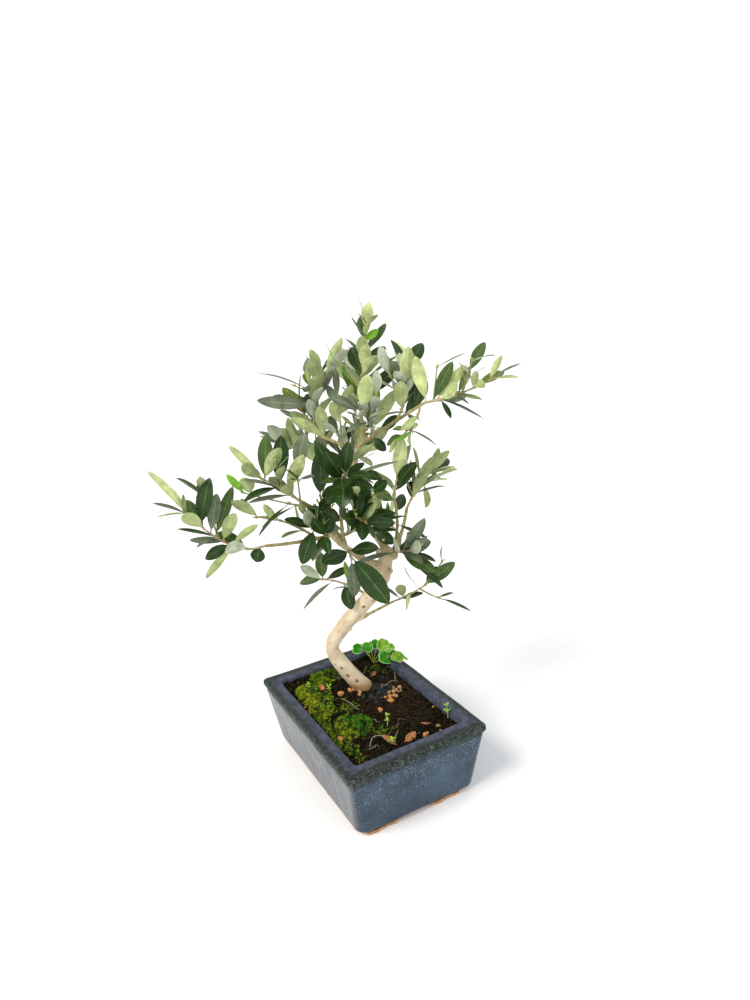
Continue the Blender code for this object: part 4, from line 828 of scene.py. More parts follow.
class Paint:
    """A material, with short ways to add the nodes of its pattern, whose sizes are in millimetres."""

    def __init__(self, name, colour, roughness, **constants):
        self.material = bpy.data.materials.new(name)
        self.material.use_nodes = True
        self.tree = self.material.node_tree
        self.shader = self.tree.nodes["Principled BSDF"]
        self.shader.inputs["Base Color"].default_value = (*colour, 1.0)
        self.shader.inputs["Roughness"].default_value = roughness
        for socket, value in constants.items():
            self.shader.inputs[socket.replace("_", " ")].default_value = value
        self.place = self.tree.nodes.new("ShaderNodeTexCoord").outputs["Object"]

    def stretched(self, stretch):
        node = self.tree.nodes.new("ShaderNodeVectorMath")
        node.operation = "MULTIPLY"
        self.tree.links.new(self.place, node.inputs[0])
        node.inputs[1].default_value = stretch
        return node.outputs[0]

    def noise(self, size, detail=3.0, rough=0.55, stretch=(1.0, 1.0, 1.0)):
        """Soft noise with blotches of about that size."""
        node = self.tree.nodes.new("ShaderNodeTexNoise")
        node.inputs["Scale"].default_value = 1.0 / (MM * size)
        node.inputs["Detail"].default_value = detail
        node.inputs["Roughness"].default_value = rough
        self.tree.links.new(self.stretched(stretch), node.inputs["Vector"])
        return node.outputs["Fac"]

    def spots(self, size, low, high, detail=3.0, rough=0.55, stretch=(1.0, 1.0, 1.0)):
        """From 0 to 1 as that noise goes from low to high."""
        return self.between(self.noise(size, detail, rough, stretch), low, high)

    def dots(self, apart):
        """How far each place is from the nearest of many scattered points that are so far apart."""
        node = self.tree.nodes.new("ShaderNodeTexVoronoi")
        node.inputs["Scale"].default_value = 1.0 / (MM * apart)
        self.tree.links.new(self.place, node.inputs["Vector"])
        return node.outputs["Distance"]

    def along(self, axis):
        node = self.tree.nodes.new("ShaderNodeSeparateXYZ")
        self.tree.links.new(self.place, node.inputs[0])
        return node.outputs[axis]

    def height(self, low, high):
        """From 0 to 1 between two heights, in millimetres."""
        return self.between(self.along("Z"), MM * low, MM * high)

    def math(self, kind, first, second):
        node = self.tree.nodes.new("ShaderNodeMath")
        node.operation = kind
        for socket, value in zip(node.inputs, (first, second)):
            if isinstance(value, float):
                socket.default_value = value
            else:
                self.tree.links.new(value, socket)
        return node.outputs[0]

    def between(self, value, low, high):
        """From 0 to 1 as the value goes from low to high."""
        node = self.tree.nodes.new("ShaderNodeMapRange")
        node.interpolation_type = "SMOOTHSTEP"
        self.tree.links.new(value, node.inputs["Value"])
        node.inputs["From Min"].default_value = low
        node.inputs["From Max"].default_value = high
        return node.outputs["Result"]

    def mix(self, share, first, second):
        node = self.tree.nodes.new("ShaderNodeMix")
        node.data_type = "RGBA"
        self.tree.links.new(share, node.inputs["Factor"])
        for socket, value in zip((node.inputs["A"], node.inputs["B"]), (first, second)):
            if isinstance(value, tuple):
                socket.default_value = (*value, 1.0)
            else:
                self.tree.links.new(value, socket)
        return node.outputs["Result"]

    def laid(self, base, share, strength, colour):
        """The base with a colour laid over it where the share is high."""
        return self.mix(self.math("MULTIPLY", share, strength), base, colour)

    def colour(self, source):
        self.tree.links.new(source, self.shader.inputs["Base Color"])

    def roughness(self, share, low, high):
        node = self.tree.nodes.new("ShaderNodeMapRange")
        self.tree.links.new(share, node.inputs["Value"])
        node.inputs["To Min"].default_value = low
        node.inputs["To Max"].default_value = high
        self.tree.links.new(node.outputs["Result"], self.shader.inputs["Roughness"])

    def bumps(self, height, depth):
        node = self.tree.nodes.new("ShaderNodeBump")
        node.inputs["Distance"].default_value = MM * depth
        node.inputs["Strength"].default_value = 1.0
        self.tree.links.new(height, node.inputs["Height"])
        self.tree.links.new(node.outputs["Normal"], self.shader.inputs["Normal"])


class Skin:
    """Points and faces of one mesh, gathered from small shapes, each face with its material's number."""

    def __init__(self):
        self.points = []
        self.corners = []
        self.sizes = []
        self.slots = []
        self.count = 0

    def add(self, points, faces, slot=0):
        """The slot is one number, or one for each face."""
        points = np.asarray(points, float)
        faces = [np.asarray(face) for face in faces]
        self.points.append(points)
        self.corners.append(np.concatenate(faces) + self.count)
        self.sizes.append(np.array([len(face) for face in faces]))
        self.slots.append(np.broadcast_to(slot, len(faces)))
        self.count += len(points)

    def build(self, name, paints, turn=0.0, smooth=40.0):
        points = MM * np.concatenate(self.points)
        if turn:
            points = points @ np.array(Matrix.Rotation(turn, 3, "Z")).T
        sizes = np.concatenate(self.sizes)
        corners = np.concatenate(self.corners)
        mesh = bpy.data.meshes.new(name)
        mesh.vertices.add(len(points))
        mesh.vertices.foreach_set("co", points.astype(np.float32).ravel())
        mesh.loops.add(len(corners))
        mesh.loops.foreach_set("vertex_index", corners.astype(np.int32))
        mesh.polygons.add(len(sizes))
        starts = np.concatenate([[0], np.cumsum(sizes)[:-1]])
        mesh.polygons.foreach_set("loop_start", starts.astype(np.int32))
        mesh.polygons.foreach_set("material_index", np.concatenate(self.slots).astype(np.int32))
        mesh.update(calc_edges=True)
        mesh.validate()
        for paint in paints:
            mesh.materials.append(paint.material)
        mesh.shade_smooth()
        mesh.set_sharp_from_angle(angle=math.radians(smooth))
        thing = bpy.data.objects.new(name, mesh)
        bpy.context.scene.collection.objects.link(thing)
        return thing


def place(thing, slot, *nodes):
    """The piece rides with the whole, and stands for the model's nodes."""
    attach(thing, BODY)
    if nodes:
        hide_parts(*nodes)


def wave(point, size, seed=0.0):
    """Soft noise from -1 to 1 whose waves are about that long."""
    return noise.noise(Vector(point) / size + Vector((seed, 3.7 * seed, -1.3 * seed)))


# Bark: tubes with round tips are fused and smoothed at this step, and then carry streaks, lumps, gnarls
# near the fork, knots and scars
BARK_STEP = 0.4
BARK_SIDES = 18
BARK_RING = 1.0
BARK_SMOOTHING = 5
BARK_SUNK = 0.2
CAP_TURNS = (30.0, 58.0, 78.0)
STUB_POINTS = 6
POINTS_AT_ONCE = 4000
THICK_RADIUS = 4.0
LIMB_SHIFT = 7.0
COLLAR = 0.55
COLLAR_LONG = 1.3
STREAK = (1.1, 9.0, 0.13)
LUMP = (5.5, 0.22)
GNARL = (3.2, 0.75)
GNARL_FROM = 0.78
GNARL_RADIUS = 1.8
GNARL_LONG = 9.0
GNARL_LEAST = 0.02
KNOT_STEP = 10.5
KNOT_RISE = 0.16
KNOT_LONG = 1.0

# Stubs of cut twigs: the limb, how far along, the way they point, their length and radius
STUBS = (
    ("trunk", 0.985, (-4, -3, 3), 3.0, 2.2), ("trunk", 0.90, (3, -5, 0), 2.6, 2.0),
    ("trunk", 0.83, (-3, -5, 1), 2.0, 1.7), ("trunk", 0.95, (5, 0, 1), 2.4, 2.0),
    ("bough_left", 0.12, (-3, -3, 5), 2.2, 1.6), ("bough_left", 0.98, (-2, -3, 4), 1.6, 1.4),
    ("bough_leader", 0.10, (2, -4, 2), 2.4, 1.6), ("bough_leader", 0.97, (2, -3, 2), 1.8, 1.5),
    ("bough_leader", 0.62, (3, -2, 1), 1.4, 1.1), ("trunk", 0.46, (5, -2, 0), 0.6, 1.8),
)

# Dark scars on the trunk: how far along, which way they face, and their half length and half width
SCARS = (
    (0.075, (0.35, -1.0, 0.1), 1.9, 1.5), (0.135, (-0.15, -1.0, 0.1), 2.0, 1.5),
    (0.195, (-0.25, -1.0, 0.3), 1.7, 1.2), (0.235, (-0.6, -1.0, 0.0), 1.0, 0.7),
    (0.66, (0.2, -1.0, 0.2), 1.7, 1.4), (0.72, (0.6, -1.0, 0.0), 1.1, 0.8),
    (0.40, (0.2, 1.0, 0.2), 1.4, 1.0),
)
SCAR_DEEP = 0.26
SCAR_NEAR = 3.0
SCAR_REACH = 2.2
SCAR_LIP = (0.5, 1.35, 0.3)
SCAR_PIT = 0.8
YOUNG_RADIUS = 1.85


def dense(path, radii, step):
    """The limb's line as a smooth curve with a point every step or so, and the radius at each."""
    spans = np.linalg.norm(np.diff(path, axis=0), axis=1)
    each = max(2, round(float(spans.mean()) / step))
    line = smooth_line(path, each)
    wide = np.interp(np.linspace(0, len(path) - 1, len(line)), range(len(path)), radii)
    return line, wide


def round_tube(line, radii, sides, foot_way=None):
    """Points and faces of a tube whose tip is round."""
    way = unit(line[-1] - line[-2])
    cap = [(math.sin(turn), math.cos(turn)) for turn in np.radians(CAP_TURNS)]
    line = np.vstack([line, *[line[-1] + rise * radii[-1] * way for rise, _ in cap]])
    radii = np.concatenate([radii, [share * radii[-1] for _, share in cap]])
    return tube(Limb(line, radii, foot_way), sides)


def tube(limb, sides):
    """Points and faces of a limb: its rings keep their turn from one to the next."""
    ways = np.gradient(limb.path, axis=0)
    ways[0] = limb.foot_way
    side = unit(np.cross(ways[0], TUBE_SIDE))
    turns = turns_round(sides)[:, None]
    rings = []
    for point, way, radius in zip(limb.path, ways, limb.radii):
        way = unit(way)
        side = unit(side - way * (side @ way))
        up = np.cross(way, side)
        rings.append(point + radius * (np.cos(turns) * side + np.sin(turns) * up))
    return loft(rings)


def loft(rings):
    """Points and faces of the closed skin through rings of the same number of points."""
    count = len(rings[0])
    faces = [tuple(reversed(range(count)))]
    for low in range(0, count * (len(rings) - 1), count):
        for k in range(count):
            after = (k + 1) % count
            faces.append((low + k, low + after, low + count + after, low + count + k))
    faces.append(tuple(range(count * (len(rings) - 1), count * len(rings))))
    return np.concatenate([np.asarray(ring, float) for ring in rings]), faces


def rooted(name, limbs):
    """A bough's line and radii, begun inside what it grows on, with a collar where it comes out."""
    limb = limbs[name]
    bough = BOUGHS[name]
    parent = limbs[bough.on]
    foot = parent.point(bough.at) if bough.at < 1.0 else parent.path[-1] - bough.thick[0] * limb.foot_way
    line, radii = dense(limb.path, limb.radii, BARK_RING)
    radii = radii + COLLAR * radii[0] * np.exp(-run_along(line) / (COLLAR_LONG * radii[0]))
    return np.vstack([foot, line]), np.concatenate([radii[:1], radii])


def nearest_limb(points, limbs):
    """The limbs' names, and for each point its limb, how far along that, the radius there, the way
    outwards and the limb's own way."""
    names = list(limbs)
    parts = np.vstack([limbs[name].parts() for name in names])
    owner = np.concatenate([[k] * (len(limbs[name].path) - 1) for k, name in enumerate(names)])
    run = np.concatenate([limbs[name].run[:-1] for name in names])
    a, b, ra, rb = parts[:, :3], parts[:, 3:6], parts[:, 6], parts[:, 7]
    ab = b - a
    long = np.linalg.norm(ab, axis=1)
    found = []
    for low in range(0, len(points), POINTS_AT_ONCE):
        block = points[low:low + POINTS_AT_ONCE]
        t = np.clip(((block[:, None] - a) * ab).sum(-1) / (ab * ab).sum(-1), 0.0, 1.0)
        away = block[:, None] - (a + t[..., None] * ab)
        gap = np.linalg.norm(away, axis=-1) - ra - t * (rb - ra)
        best = gap.argmin(axis=1)
        rows = np.arange(len(block))
        share = t[rows, best]
        found.append((owner[best], run[best] + share * long[best],
                      ra[best] + share * (rb - ra)[best], away[rows, best], (ab / long[:, None])[best]))
    return names, [np.concatenate(column) for column in zip(*found)]


def fuse_bark(limbs):
    """A mesh of trunk, boughs and stubs fused into one soft skin."""
    skin = Skin()
    trunk = limbs["trunk"]
    foot = trunk.path[0] - np.array((0.0, 0.0, BARK_SUNK))
    line, radii = dense(trunk.path, trunk.radii, BARK_RING)
    line, radii = np.vstack([foot, line]), np.concatenate([radii[:1], radii])
    skin.add(*round_tube(line, radii, BARK_SIDES, trunk.foot_way))
    for name in BOUGHS:
        skin.add(*round_tube(*rooted(name, limbs), BARK_SIDES))
    for name, at, way, length, radius in STUBS:
        limb = limbs[name]
        run = np.linspace(0.0, limb.radius(at) + length, STUB_POINTS)[:, None]
        line = limb.point(at) + run * unit(np.array(way, float))
        skin.add(*round_tube(line, np.full(STUB_POINTS, float(radius)), BARK_SIDES))
    rough = skin.build("bark_rough", [])
    remesh = rough.modifiers.new("Fuse", "REMESH")
    remesh.mode = "VOXEL"
    remesh.voxel_size = MM * BARK_STEP
    soften = rough.modifiers.new("Soften", "SMOOTH")
    soften.iterations = BARK_SMOOTHING
    bpy.context.view_layer.update()
    mesh = bpy.data.meshes.new_from_object(rough.evaluated_get(bpy.context.evaluated_depsgraph_get()))
    bpy.data.objects.remove(rough)
    return mesh


def read_points(mesh):
    """Places, in millimetres, and normals of the mesh's points."""
    points = np.empty(len(mesh.vertices) * 3, np.float32)
    mesh.vertices.foreach_get("co", points)
    normals = np.empty(len(mesh.vertices) * 3, np.float32)
    mesh.vertex_normals.foreach_get("vector", normals)
    return points.reshape(-1, 3).astype(float) / MM, normals.reshape(-1, 3).astype(float)


def bark_relief(points, limbs):
    """How far each point of the bark rises, and its slot: 0 bark, 1 scar, 2 young bark."""
    names, (owner, run, radius, away, ways) = nearest_limb(points, limbs)
    length = np.array([limbs[name].length for name in names])[owner]
    on_trunk = owner == names.index("trunk")
    rise = np.zeros(len(points))
    for k, point in enumerate(points):
        shift = run[k] / STREAK[1] + LIMB_SHIFT * owner[k]
        streak = noise.noise(Vector(away[k] / STREAK[0] + shift * ways[k]))
        thick = min(1.0, radius[k] / THICK_RADIUS)
        rise[k] = thick * (STREAK[2] * streak + LUMP[1] * wave(point, LUMP[0]))
    gnarled = np.clip((run / length - GNARL_FROM) / (1.0 - GNARL_FROM), 0.0, 1.0) * on_trunk
    gnarled = np.maximum(gnarled, (~on_trunk) * (radius > GNARL_RADIUS) * np.exp(-run / GNARL_LONG))
    for k in np.nonzero(gnarled > GNARL_LEAST)[0]:
        rise[k] += gnarled[k] * GNARL[1] * wave(points[k], GNARL[0], 2.0)
    step = np.abs((run + 3.0 * owner) % KNOT_STEP - 0.5 * KNOT_STEP)
    rise += (~on_trunk) * KNOT_RISE * radius * np.exp(-(step / KNOT_LONG) ** 2)
    slots = np.where(~on_trunk & (radius < YOUNG_RADIUS), 2, 0)
    trunk = limbs["trunk"]
    for at, faces, half_long, half_wide in SCARS:
        along = trunk.along(at)
        out = unit(np.array(faces) - along * (np.array(faces) @ along))
        d = points - (trunk.point(at) + trunk.radius(at) * out)
        across = d @ np.cross(along, out)
        far = np.hypot((d @ along) / half_long, across / half_wide)
        near = (np.abs(d @ out) < SCAR_NEAR) & (far < SCAR_REACH)
        lip = SCAR_LIP[0] * np.exp(-((far[near] - SCAR_LIP[1]) / SCAR_LIP[2]) ** 2)
        rise[near] += SCAR_DEEP * (lip - np.exp(-(far[near] / SCAR_PIT) ** 2))
        slots[near & (far < 1.0)] = 1
    return rise, slots


def make_bark(limbs):
    """Trunk and boughs as one skin, with collars, streaks, lumps, knots and scars."""
    mesh = fuse_bark(limbs)
    points, normals = read_points(mesh)
    rise, slots = bark_relief(points, limbs)
    points += rise[:, None] * normals
    points = points @ np.array(Matrix.Rotation(TREE_TURN, 3, "Z")).T
    mesh.vertices.foreach_set("co", (MM * points).astype(np.float32).ravel())
    mesh.materials.clear()
    for paint in (paint_bark(), *plain_paints("scar"), paint_young_bark()):
        mesh.materials.append(paint.material)
    for face in mesh.polygons:
        face.material_index = min(slots[corner] for corner in face.vertices)
    mesh.shade_smooth()
    mesh.update()
    bark = bpy.data.objects.new("trunk_and_boughs", mesh)
    bpy.context.scene.collection.objects.link(bark)
    place(bark, "bark", "trunk", *BOUGHS)


# Finer growth: extra short twigs for each mass, and a second go at leaves between the first pairs
FINER_SEED = 1000
FINER_TWIGS = 7
FINER_AT = (0.12, 0.92)
FINER_LONG = (8.0, 17.0)
FINER_RADII = (0.5, 0.35)
FINER_SAG = (0.4, 0.0)
FINER_ROOT = 0.7
FINER_PROBES = 8
FINER_GAP = 0.5
FINER_ROLL = 20
FINER_PAIR = 0.45
FINER_LEAF_SHARE = 0.72
FINER_MASSES = {
    "foliage_front": 12, "foliage_front_low": 22, "foliage_left_under": 12, "foliage_low_centre": 14,
    "foliage_crown_front": 9, "foliage_upper_left": 6, "foliage_upper_far": 6, "foliage_apex": 4,
    "foliage_crown_right": 5, "foliage_left_tip": 4, "foliage_right_tip": 3, "foliage_right_side": 3,
    "foliage_far_left": 2, "foliage_right_inner": 5, "foliage_left_shoot": 1, "foliage_low_right": 1,
    "foliage_low_left": 1, "foliage_trunk_front": 0,
}
OPEN_MASSES = (
    "foliage_far_left", "foliage_left_shoot", "foliage_left_tip", "foliage_low_left", "foliage_low_right",
    "foliage_trunk_front", "foliage_right_inner", "foliage_right_tip",
)


def grow_finer(growth, name, mass):
    """Short twigs from the stem and its side twigs, with smaller leaves, where there is still room."""
    rng = random.Random(FINER_SEED + mass.seed)
    stem = growth.stems[name]
    size = FINER_LEAF_SHARE * mass.leaf
    first = 0.5 * (FIRST_PAIR + FIRST_TWIG_PAIR)
    for own, parent in growth.twigs[name].items():
        if own not in SHOOTS and name not in OPEN_MASSES:
            pairs = mass.pairs if parent is stem else pairs_on(parent)
            grow_pairs(growth, name, own, parent, pairs, size, mass.roll + FINER_ROLL, first, stem, rng)
    parents = list(growth.twigs[name].values())
    for k in range(FINER_MASSES.get(name, FINER_TWIGS)):
        parent = parents[k % len(parents)]
        for _ in range(TWIG_TRIES):
            at = rng.uniform(*FINER_AT)
            twig = make_twig(parent, at, rng.uniform(0, 360), rng.uniform(*TWIG_SPREAD),
                             rng.uniform(*FINER_LONG), FINER_SAG, FINER_RADII)
            root = min(FINER_ROOT, (parent.radius(at) + 1.0) / twig.length)
            if growth.twig_is_free(name, twig, root, FINER_PROBES, FINER_GAP):
                own = f"{name}.fine{k}"
                growth.twigs[name][own] = twig
                growth.add_wood(own, twig, corner=1.0)
                grow_pairs(growth, name, own, twig, 2, size, QUARTER * k, FINER_PAIR, stem, rng)
                break


# A leaf's skin: rows from root to tip and columns from rim to rim, with a strip over the midrib
STALK_LONG = 0.12
BLADE_ROWS = (0.0, 0.06, 0.15, 0.27, 0.40, 0.53, 0.66, 0.78, 0.88, 0.95, 1.0)
LEAF_ROWS = np.array((0.0, 0.06) + tuple(STALK_LONG + (1.0 - STALK_LONG) * u for u in BLADE_ROWS))
LEAF_COLUMNS = np.array((-1.0, -0.60, -0.065, 0.0, 0.065, 0.60, 1.0))
STALK_HALF = 0.42
STALK_SHARE = 0.03
TIP_HALF = 0.1
BLADE_THICK = 0.34
RIB_GROOVE = 0.14
RIB_RISE = 0.16
WIDEST = 1.10
ROUNDNESS = 0.62
FOLD_SHARE = 0.7
FOLD_SOFT = 0.25
RIB_HALF = 0.16
RIPPLE = (0.05, 7.0)
LEAF_BEND = 0.05
LEAF_CUP = (-0.10, 0.12)
LEAF_DROOP = 0.05
LEAF_TWIST = 0.28
TWIST_FROM = 0.2


def leaf_grid():
    """Faces of the closed skin, and the slot of each: 0 above, 1 below, 2 the midrib above, 3 below."""
    rows, columns = len(LEAF_ROWS), len(LEAF_COLUMNS)
    last = columns - 1

    def above(s, c):
        return s * columns + c

    def below(s, c):
        return above(s, c) if c in (0, last) else rows * columns + s * (columns - 2) + c - 1

    faces, slots = [], []
    for s in range(rows - 1):
        for c in range(last):
            rib = c in (2, 3)
            faces.append((above(s, c), above(s, c + 1), above(s + 1, c + 1), above(s + 1, c)))
            slots.append(2 if rib else 0)
            faces.append((below(s, c), below(s + 1, c), below(s + 1, c + 1), below(s, c + 1)))
            slots.append(3 if rib else 1)
    for s in (0, rows - 1):
        loop = [above(s, c) for c in range(columns)] + [below(s, c) for c in range(last - 1, 0, -1)]
        faces.append(tuple(loop if s else reversed(loop)))
        slots.append(3)
    return faces, slots


LEAF_GRID, LEAF_SLOTS = leaf_grid()


def leaf_skin(blade, rng, curl=1.0):
    """Points of one leaf: arched, folded along its midrib, a little twisted, with its rims curled."""
    side = np.cross(blade.axis, blade.face)
    t = LEAF_ROWS[:, None]
    u = np.clip((t - STALK_LONG) / (1.0 - STALK_LONG), 0.0, 1.0)
    outline = 0.5 * blade.wide * np.clip(np.sin(math.pi * u ** WIDEST), 0.0, 1.0) ** ROUNDNESS
    stalk = min(STALK_HALF, STALK_SHARE * blade.length) * (1.0 - u)
    half = np.maximum(np.maximum(outline, stalk), TIP_HALF)
    share = LEAF_COLUMNS[None]
    across = share * half
    bend = rng.uniform(-LEAF_BEND, LEAF_BEND) * blade.length * t ** 2
    ripple = RIPPLE[0] * half * np.sin(rng.uniform(0, FULL_TURN) + RIPPLE[1] * t) * share ** 2
    cup = curl * rng.uniform(*LEAF_CUP) * half * np.abs(share) ** 3
    valley = FOLD_SHARE * blade.fold * half * (np.hypot(share, FOLD_SOFT) - FOLD_SOFT)
    lift = (4.0 * blade.arching * blade.length * t * (1.0 - t) + valley + cup + ripple
            - rng.uniform(0.0, LEAF_DROOP) * blade.length * t ** 3)
    body = 0.5 * BLADE_THICK * (1.0 - np.abs(share) ** 4) * (0.6 + 0.4 * (1.0 - t))
    middle = np.exp(-(share / RIB_HALF) ** 2) * np.minimum(1.0, half)
    twist = rng.uniform(-LEAF_TWIST, LEAF_TWIST) * (t - TWIST_FROM)
    layers = []
    for high in (body - RIB_GROOVE * middle * u * (1.0 - u) * 4.0, -body - RIB_RISE * middle):
        x = across * np.cos(twist) - (lift + high) * np.sin(twist) + bend
        z = across * np.sin(twist) + (lift + high) * np.cos(twist)
        layers.append(blade.base + blade.axis * (blade.length * t)[..., None]
                      + side * x[..., None] + blade.face * z[..., None])
    rims = 0.5 * (layers[0] + layers[1])[:, [0, -1]]
    layers[0][:, [0, -1]] = rims
    return np.concatenate([layers[0].reshape(-1, 3), layers[1][:, 1:-1].reshape(-1, 3)])


# Leaf colours by age: above, below and midrib, and how rough the upper side is
LEAF_LOOKS = {
    "old": ((0.014, 0.040, 0.006), (0.27, 0.33, 0.14), (0.060, 0.105, 0.030), 0.30),
    "mid": ((0.048, 0.092, 0.018), (0.35, 0.42, 0.18), (0.105, 0.17, 0.050), 0.34),
    "young": ((0.120, 0.190, 0.030), (0.48, 0.55, 0.24), (0.21, 0.29, 0.080), 0.38),
    "tip": ((0.15, 0.36, 0.02), (0.45, 0.57, 0.14), (0.24, 0.42, 0.07), 0.38),
    # silver: partly a real waxy grey bloom, partly a painted sky reflection on glossy upper sides.
    "silver": ((0.115, 0.145, 0.085), (0.45, 0.50, 0.36), (0.20, 0.24, 0.14), 0.42),
}
LEAF_SHEEN = 0.24
LEAF_SHADES = (0.80, 1.22)
AGES_DARK = {"old": 58, "mid": 24, "young": 2, "tip": 0, "silver": 16}
AGES_LIGHT = {"old": 16, "mid": 28, "young": 32, "tip": 2, "silver": 22}
MASS_TONES = {
    "foliage_far_left": 0.5, "foliage_left_shoot": 0.6, "foliage_left_tip": 0.45,
    "foliage_left_under": 0.3, "foliage_front": 0.0, "foliage_front_low": 0.15,
    "foliage_upper_left": 0.7, "foliage_upper_far": 0.6, "foliage_apex": 0.9,
    "foliage_crown_front": 0.85, "foliage_crown_right": 0.95, "foliage_right_tip": 1.25,
    "foliage_right_side": 0.6, "foliage_right_inner": 0.55, "foliage_low_centre": 0.15,
    "foliage_trunk_front": 0.0, "foliage_low_left": 0.35, "foliage_low_right": 0.3,
    "foliage_back_left": 0.5, "foliage_back_right": 0.5, "foliage_back_top": 0.7,
    "foliage_back_low": 0.3, "foliage_back_centre": 0.5,
}
SAME_AGE = 0.6


def deal_age(rng, tone):
    """The age of a leaf or spray: the lighter its mass's tone, the younger."""
    ages = list(AGES_DARK)
    weights = [AGES_DARK[age] + tone * (AGES_LIGHT[age] - AGES_DARK[age]) for age in ages]
    return rng.choices(ages, weights)[0]


def make_leaves(growth):
    rng = random.Random(SEEDS["leaves"])
    skins = {age: Skin() for age in LEAF_LOOKS}
    spray_ages = {}
    for name, leaves in growth.leaves.items():
        for own, blade, age in leaves:
            if own not in spray_ages:
                spray_ages[own] = deal_age(rng, MASS_TONES[name])
            if age is None:
                age = spray_ages[own] if rng.random() < SAME_AGE else deal_age(rng, MASS_TONES[name])
            skins[age].add(leaf_skin(blade, rng), LEAF_GRID, LEAF_SLOTS)
    for age, skin in skins.items():
        if skin.count:
            leaves = skin.build(f"leaves_{age}", paint_leaf(age), TREE_TURN, smooth=60.0)
            place(leaves, "leaves", *MASSES)


# Twigs: their sides, the step between their rings, the swelling where a pair of leaves stands, how deep
# a stem's foot is sunk, the buds beside the leaves and the bud at the tip
TWIG_ROUND = 7
TWIG_RING = 1.3
NODE_SWELL = 0.35
NODE_LONG = 0.8
STEM_SUNK = 1.2
BUD_SHARE = 0.45
BUD_SIZES = (0.8, 1.3)
BUD_SUNK = 0.25
BUD_LONG = 1.5
TIP_LEAN = 0.3
TIP_SIDE = (0.2, 0.5, 0.8)
TIP_SIZES = (2.0, 3.6)
TIP_OUT = 0.45
TIP_WIDE = 0.35
BALL_RINGS = 5
BALL_SIDES = 7
BALL_ENDS = (0.12, 0.95)
BALL_DOME = 0.8


def make_twigs(growth, limbs):
    """Stems and twigs with swollen nodes, and the small buds in the leaf axils."""
    rng = random.Random(SEEDS["buds"])
    skins = {"stems": Skin(), "twigs": Skin(), "buds": Skin()}
    for name, twigs in growth.twigs.items():
        mass = MASSES[name]
        for own, twig in twigs.items():
            nodes = growth.nodes.get(id(twig), ())
            line, radii = dense(twig.path, twig.radii, TWIG_RING)
            run = run_along(line)
            for at in nodes:
                radii = radii * (1.0 + NODE_SWELL * np.exp(-((run - at * twig.length) / NODE_LONG) ** 2))
            kind = "twigs"
            if own == f"{name}.0":
                kind = "stems"
                parent = limbs[mass.on]
                foot = parent.point(mass.at)
                if mass.at >= 1.0:
                    foot = parent.path[-1] - STEM_SUNK * unit(twig.foot_way)
                line = np.vstack([foot, line])
                radii = np.concatenate([radii[:1], radii])
            skins[kind].add(*round_tube(line, radii, TWIG_ROUND))
            for at in nodes:
                for _ in range(2):
                    if rng.random() < BUD_SHARE:
                        add_bud(skins["buds"], twig, at, rng)
            add_tip_bud(skins["buds"], twig, rng)
    for kind, slot in (("stems", "bark"), ("twigs", "bark"), ("buds", "leaves")):
        place(skins[kind].build(kind, plain_paints(kind), TREE_TURN), slot, *MASSES)


def ball(middle, way, long, wide):
    """Points and faces of an egg with its long axis along the way."""
    way = unit(np.array(way, float))
    turns = np.linspace(*BALL_ENDS, BALL_RINGS) * math.pi
    line = np.array([middle - 0.5 * long * math.cos(turn) * way for turn in turns])
    radii = np.array([0.5 * wide * math.sin(turn) ** BALL_DOME for turn in turns])
    return tube(Limb(line, radii), BALL_SIDES)


def add_bud(skin, twig, at, rng):
    along = twig.along(at)
    side = unit(np.cross(along, (rng.uniform(-1, 1), rng.uniform(-1, 1), rng.uniform(-1, 1))))
    size = rng.uniform(*BUD_SIZES)
    middle = twig.point(at) + (twig.radius(at) + BUD_SUNK * size) * side
    skin.add(*ball(middle, unit(along + side), BUD_LONG * size, size), slot=0)


def add_tip_bud(skin, twig, rng):
    """Two tiny folded leaves that close up at the tip of a twig."""
    way = twig.along(1.0)
    for lean in (-TIP_LEAN, TIP_LEAN):
        side = unit(np.cross(way, TIP_SIDE))
        size = rng.uniform(*TIP_SIZES)
        axis = unit(way + lean * side)
        middle = twig.point(1.0) + TIP_OUT * size * axis
        skin.add(*ball(middle, axis, size, TIP_WIDE * size), slot=1)


# The pot's skin: points round a corner, the step along its walls, and how far hand work leaves it uneven
CORNER_POINTS = 9
WALL_STEP = 3.0
UNEVEN = (26.0, 0.35)
DIMPLED = (4.0, 0.10)
GROOVE = 0.5
CHIPS = (((-51.9, -74.4, 43.9), 2.0),)
CHIP_DEEP = 0.5
CHIP_BARE = 0.75
GLAZE_END = (-0.5, 0.25, 9.0)
GLAZE_INSIDE = 6.0
RIM_GLAZE = 0.9
LIFT_FROM = 20.0

# The pot's levels: rows and turns of its round edges, in degrees, and how large those edges are
PANEL_LEVELS = 2
WALL_ROWS = 15
HEAD_CORNER = 1.6 * RIM_CORNER
FOOT_TURNS = (0, 18, 36, 54, 72, 90)
OUTER_ROUND = 1.8
OUTER_TURNS = (22, 45, 68, 90)
INNER_ROUND = 1.4
INNER_TURNS = (90, 60, 30, 0)
INNER_SHARES = (0.15, 0.4, 0.7, 1.0)
RIM_DISH = 0.15

# The levels of a foot, as how far each is spread and how high it lies, and how uneven it is
FOOT_LEVELS = ((-1.3, 0.0), (-0.6, 0.12), (-0.1, 0.6), (0.3, 1.3), (0.4, FOOT_HIGH + 0.25))
FOOT_STEP = 5.0
FOOT_WAVE = (7.0, 1.3)


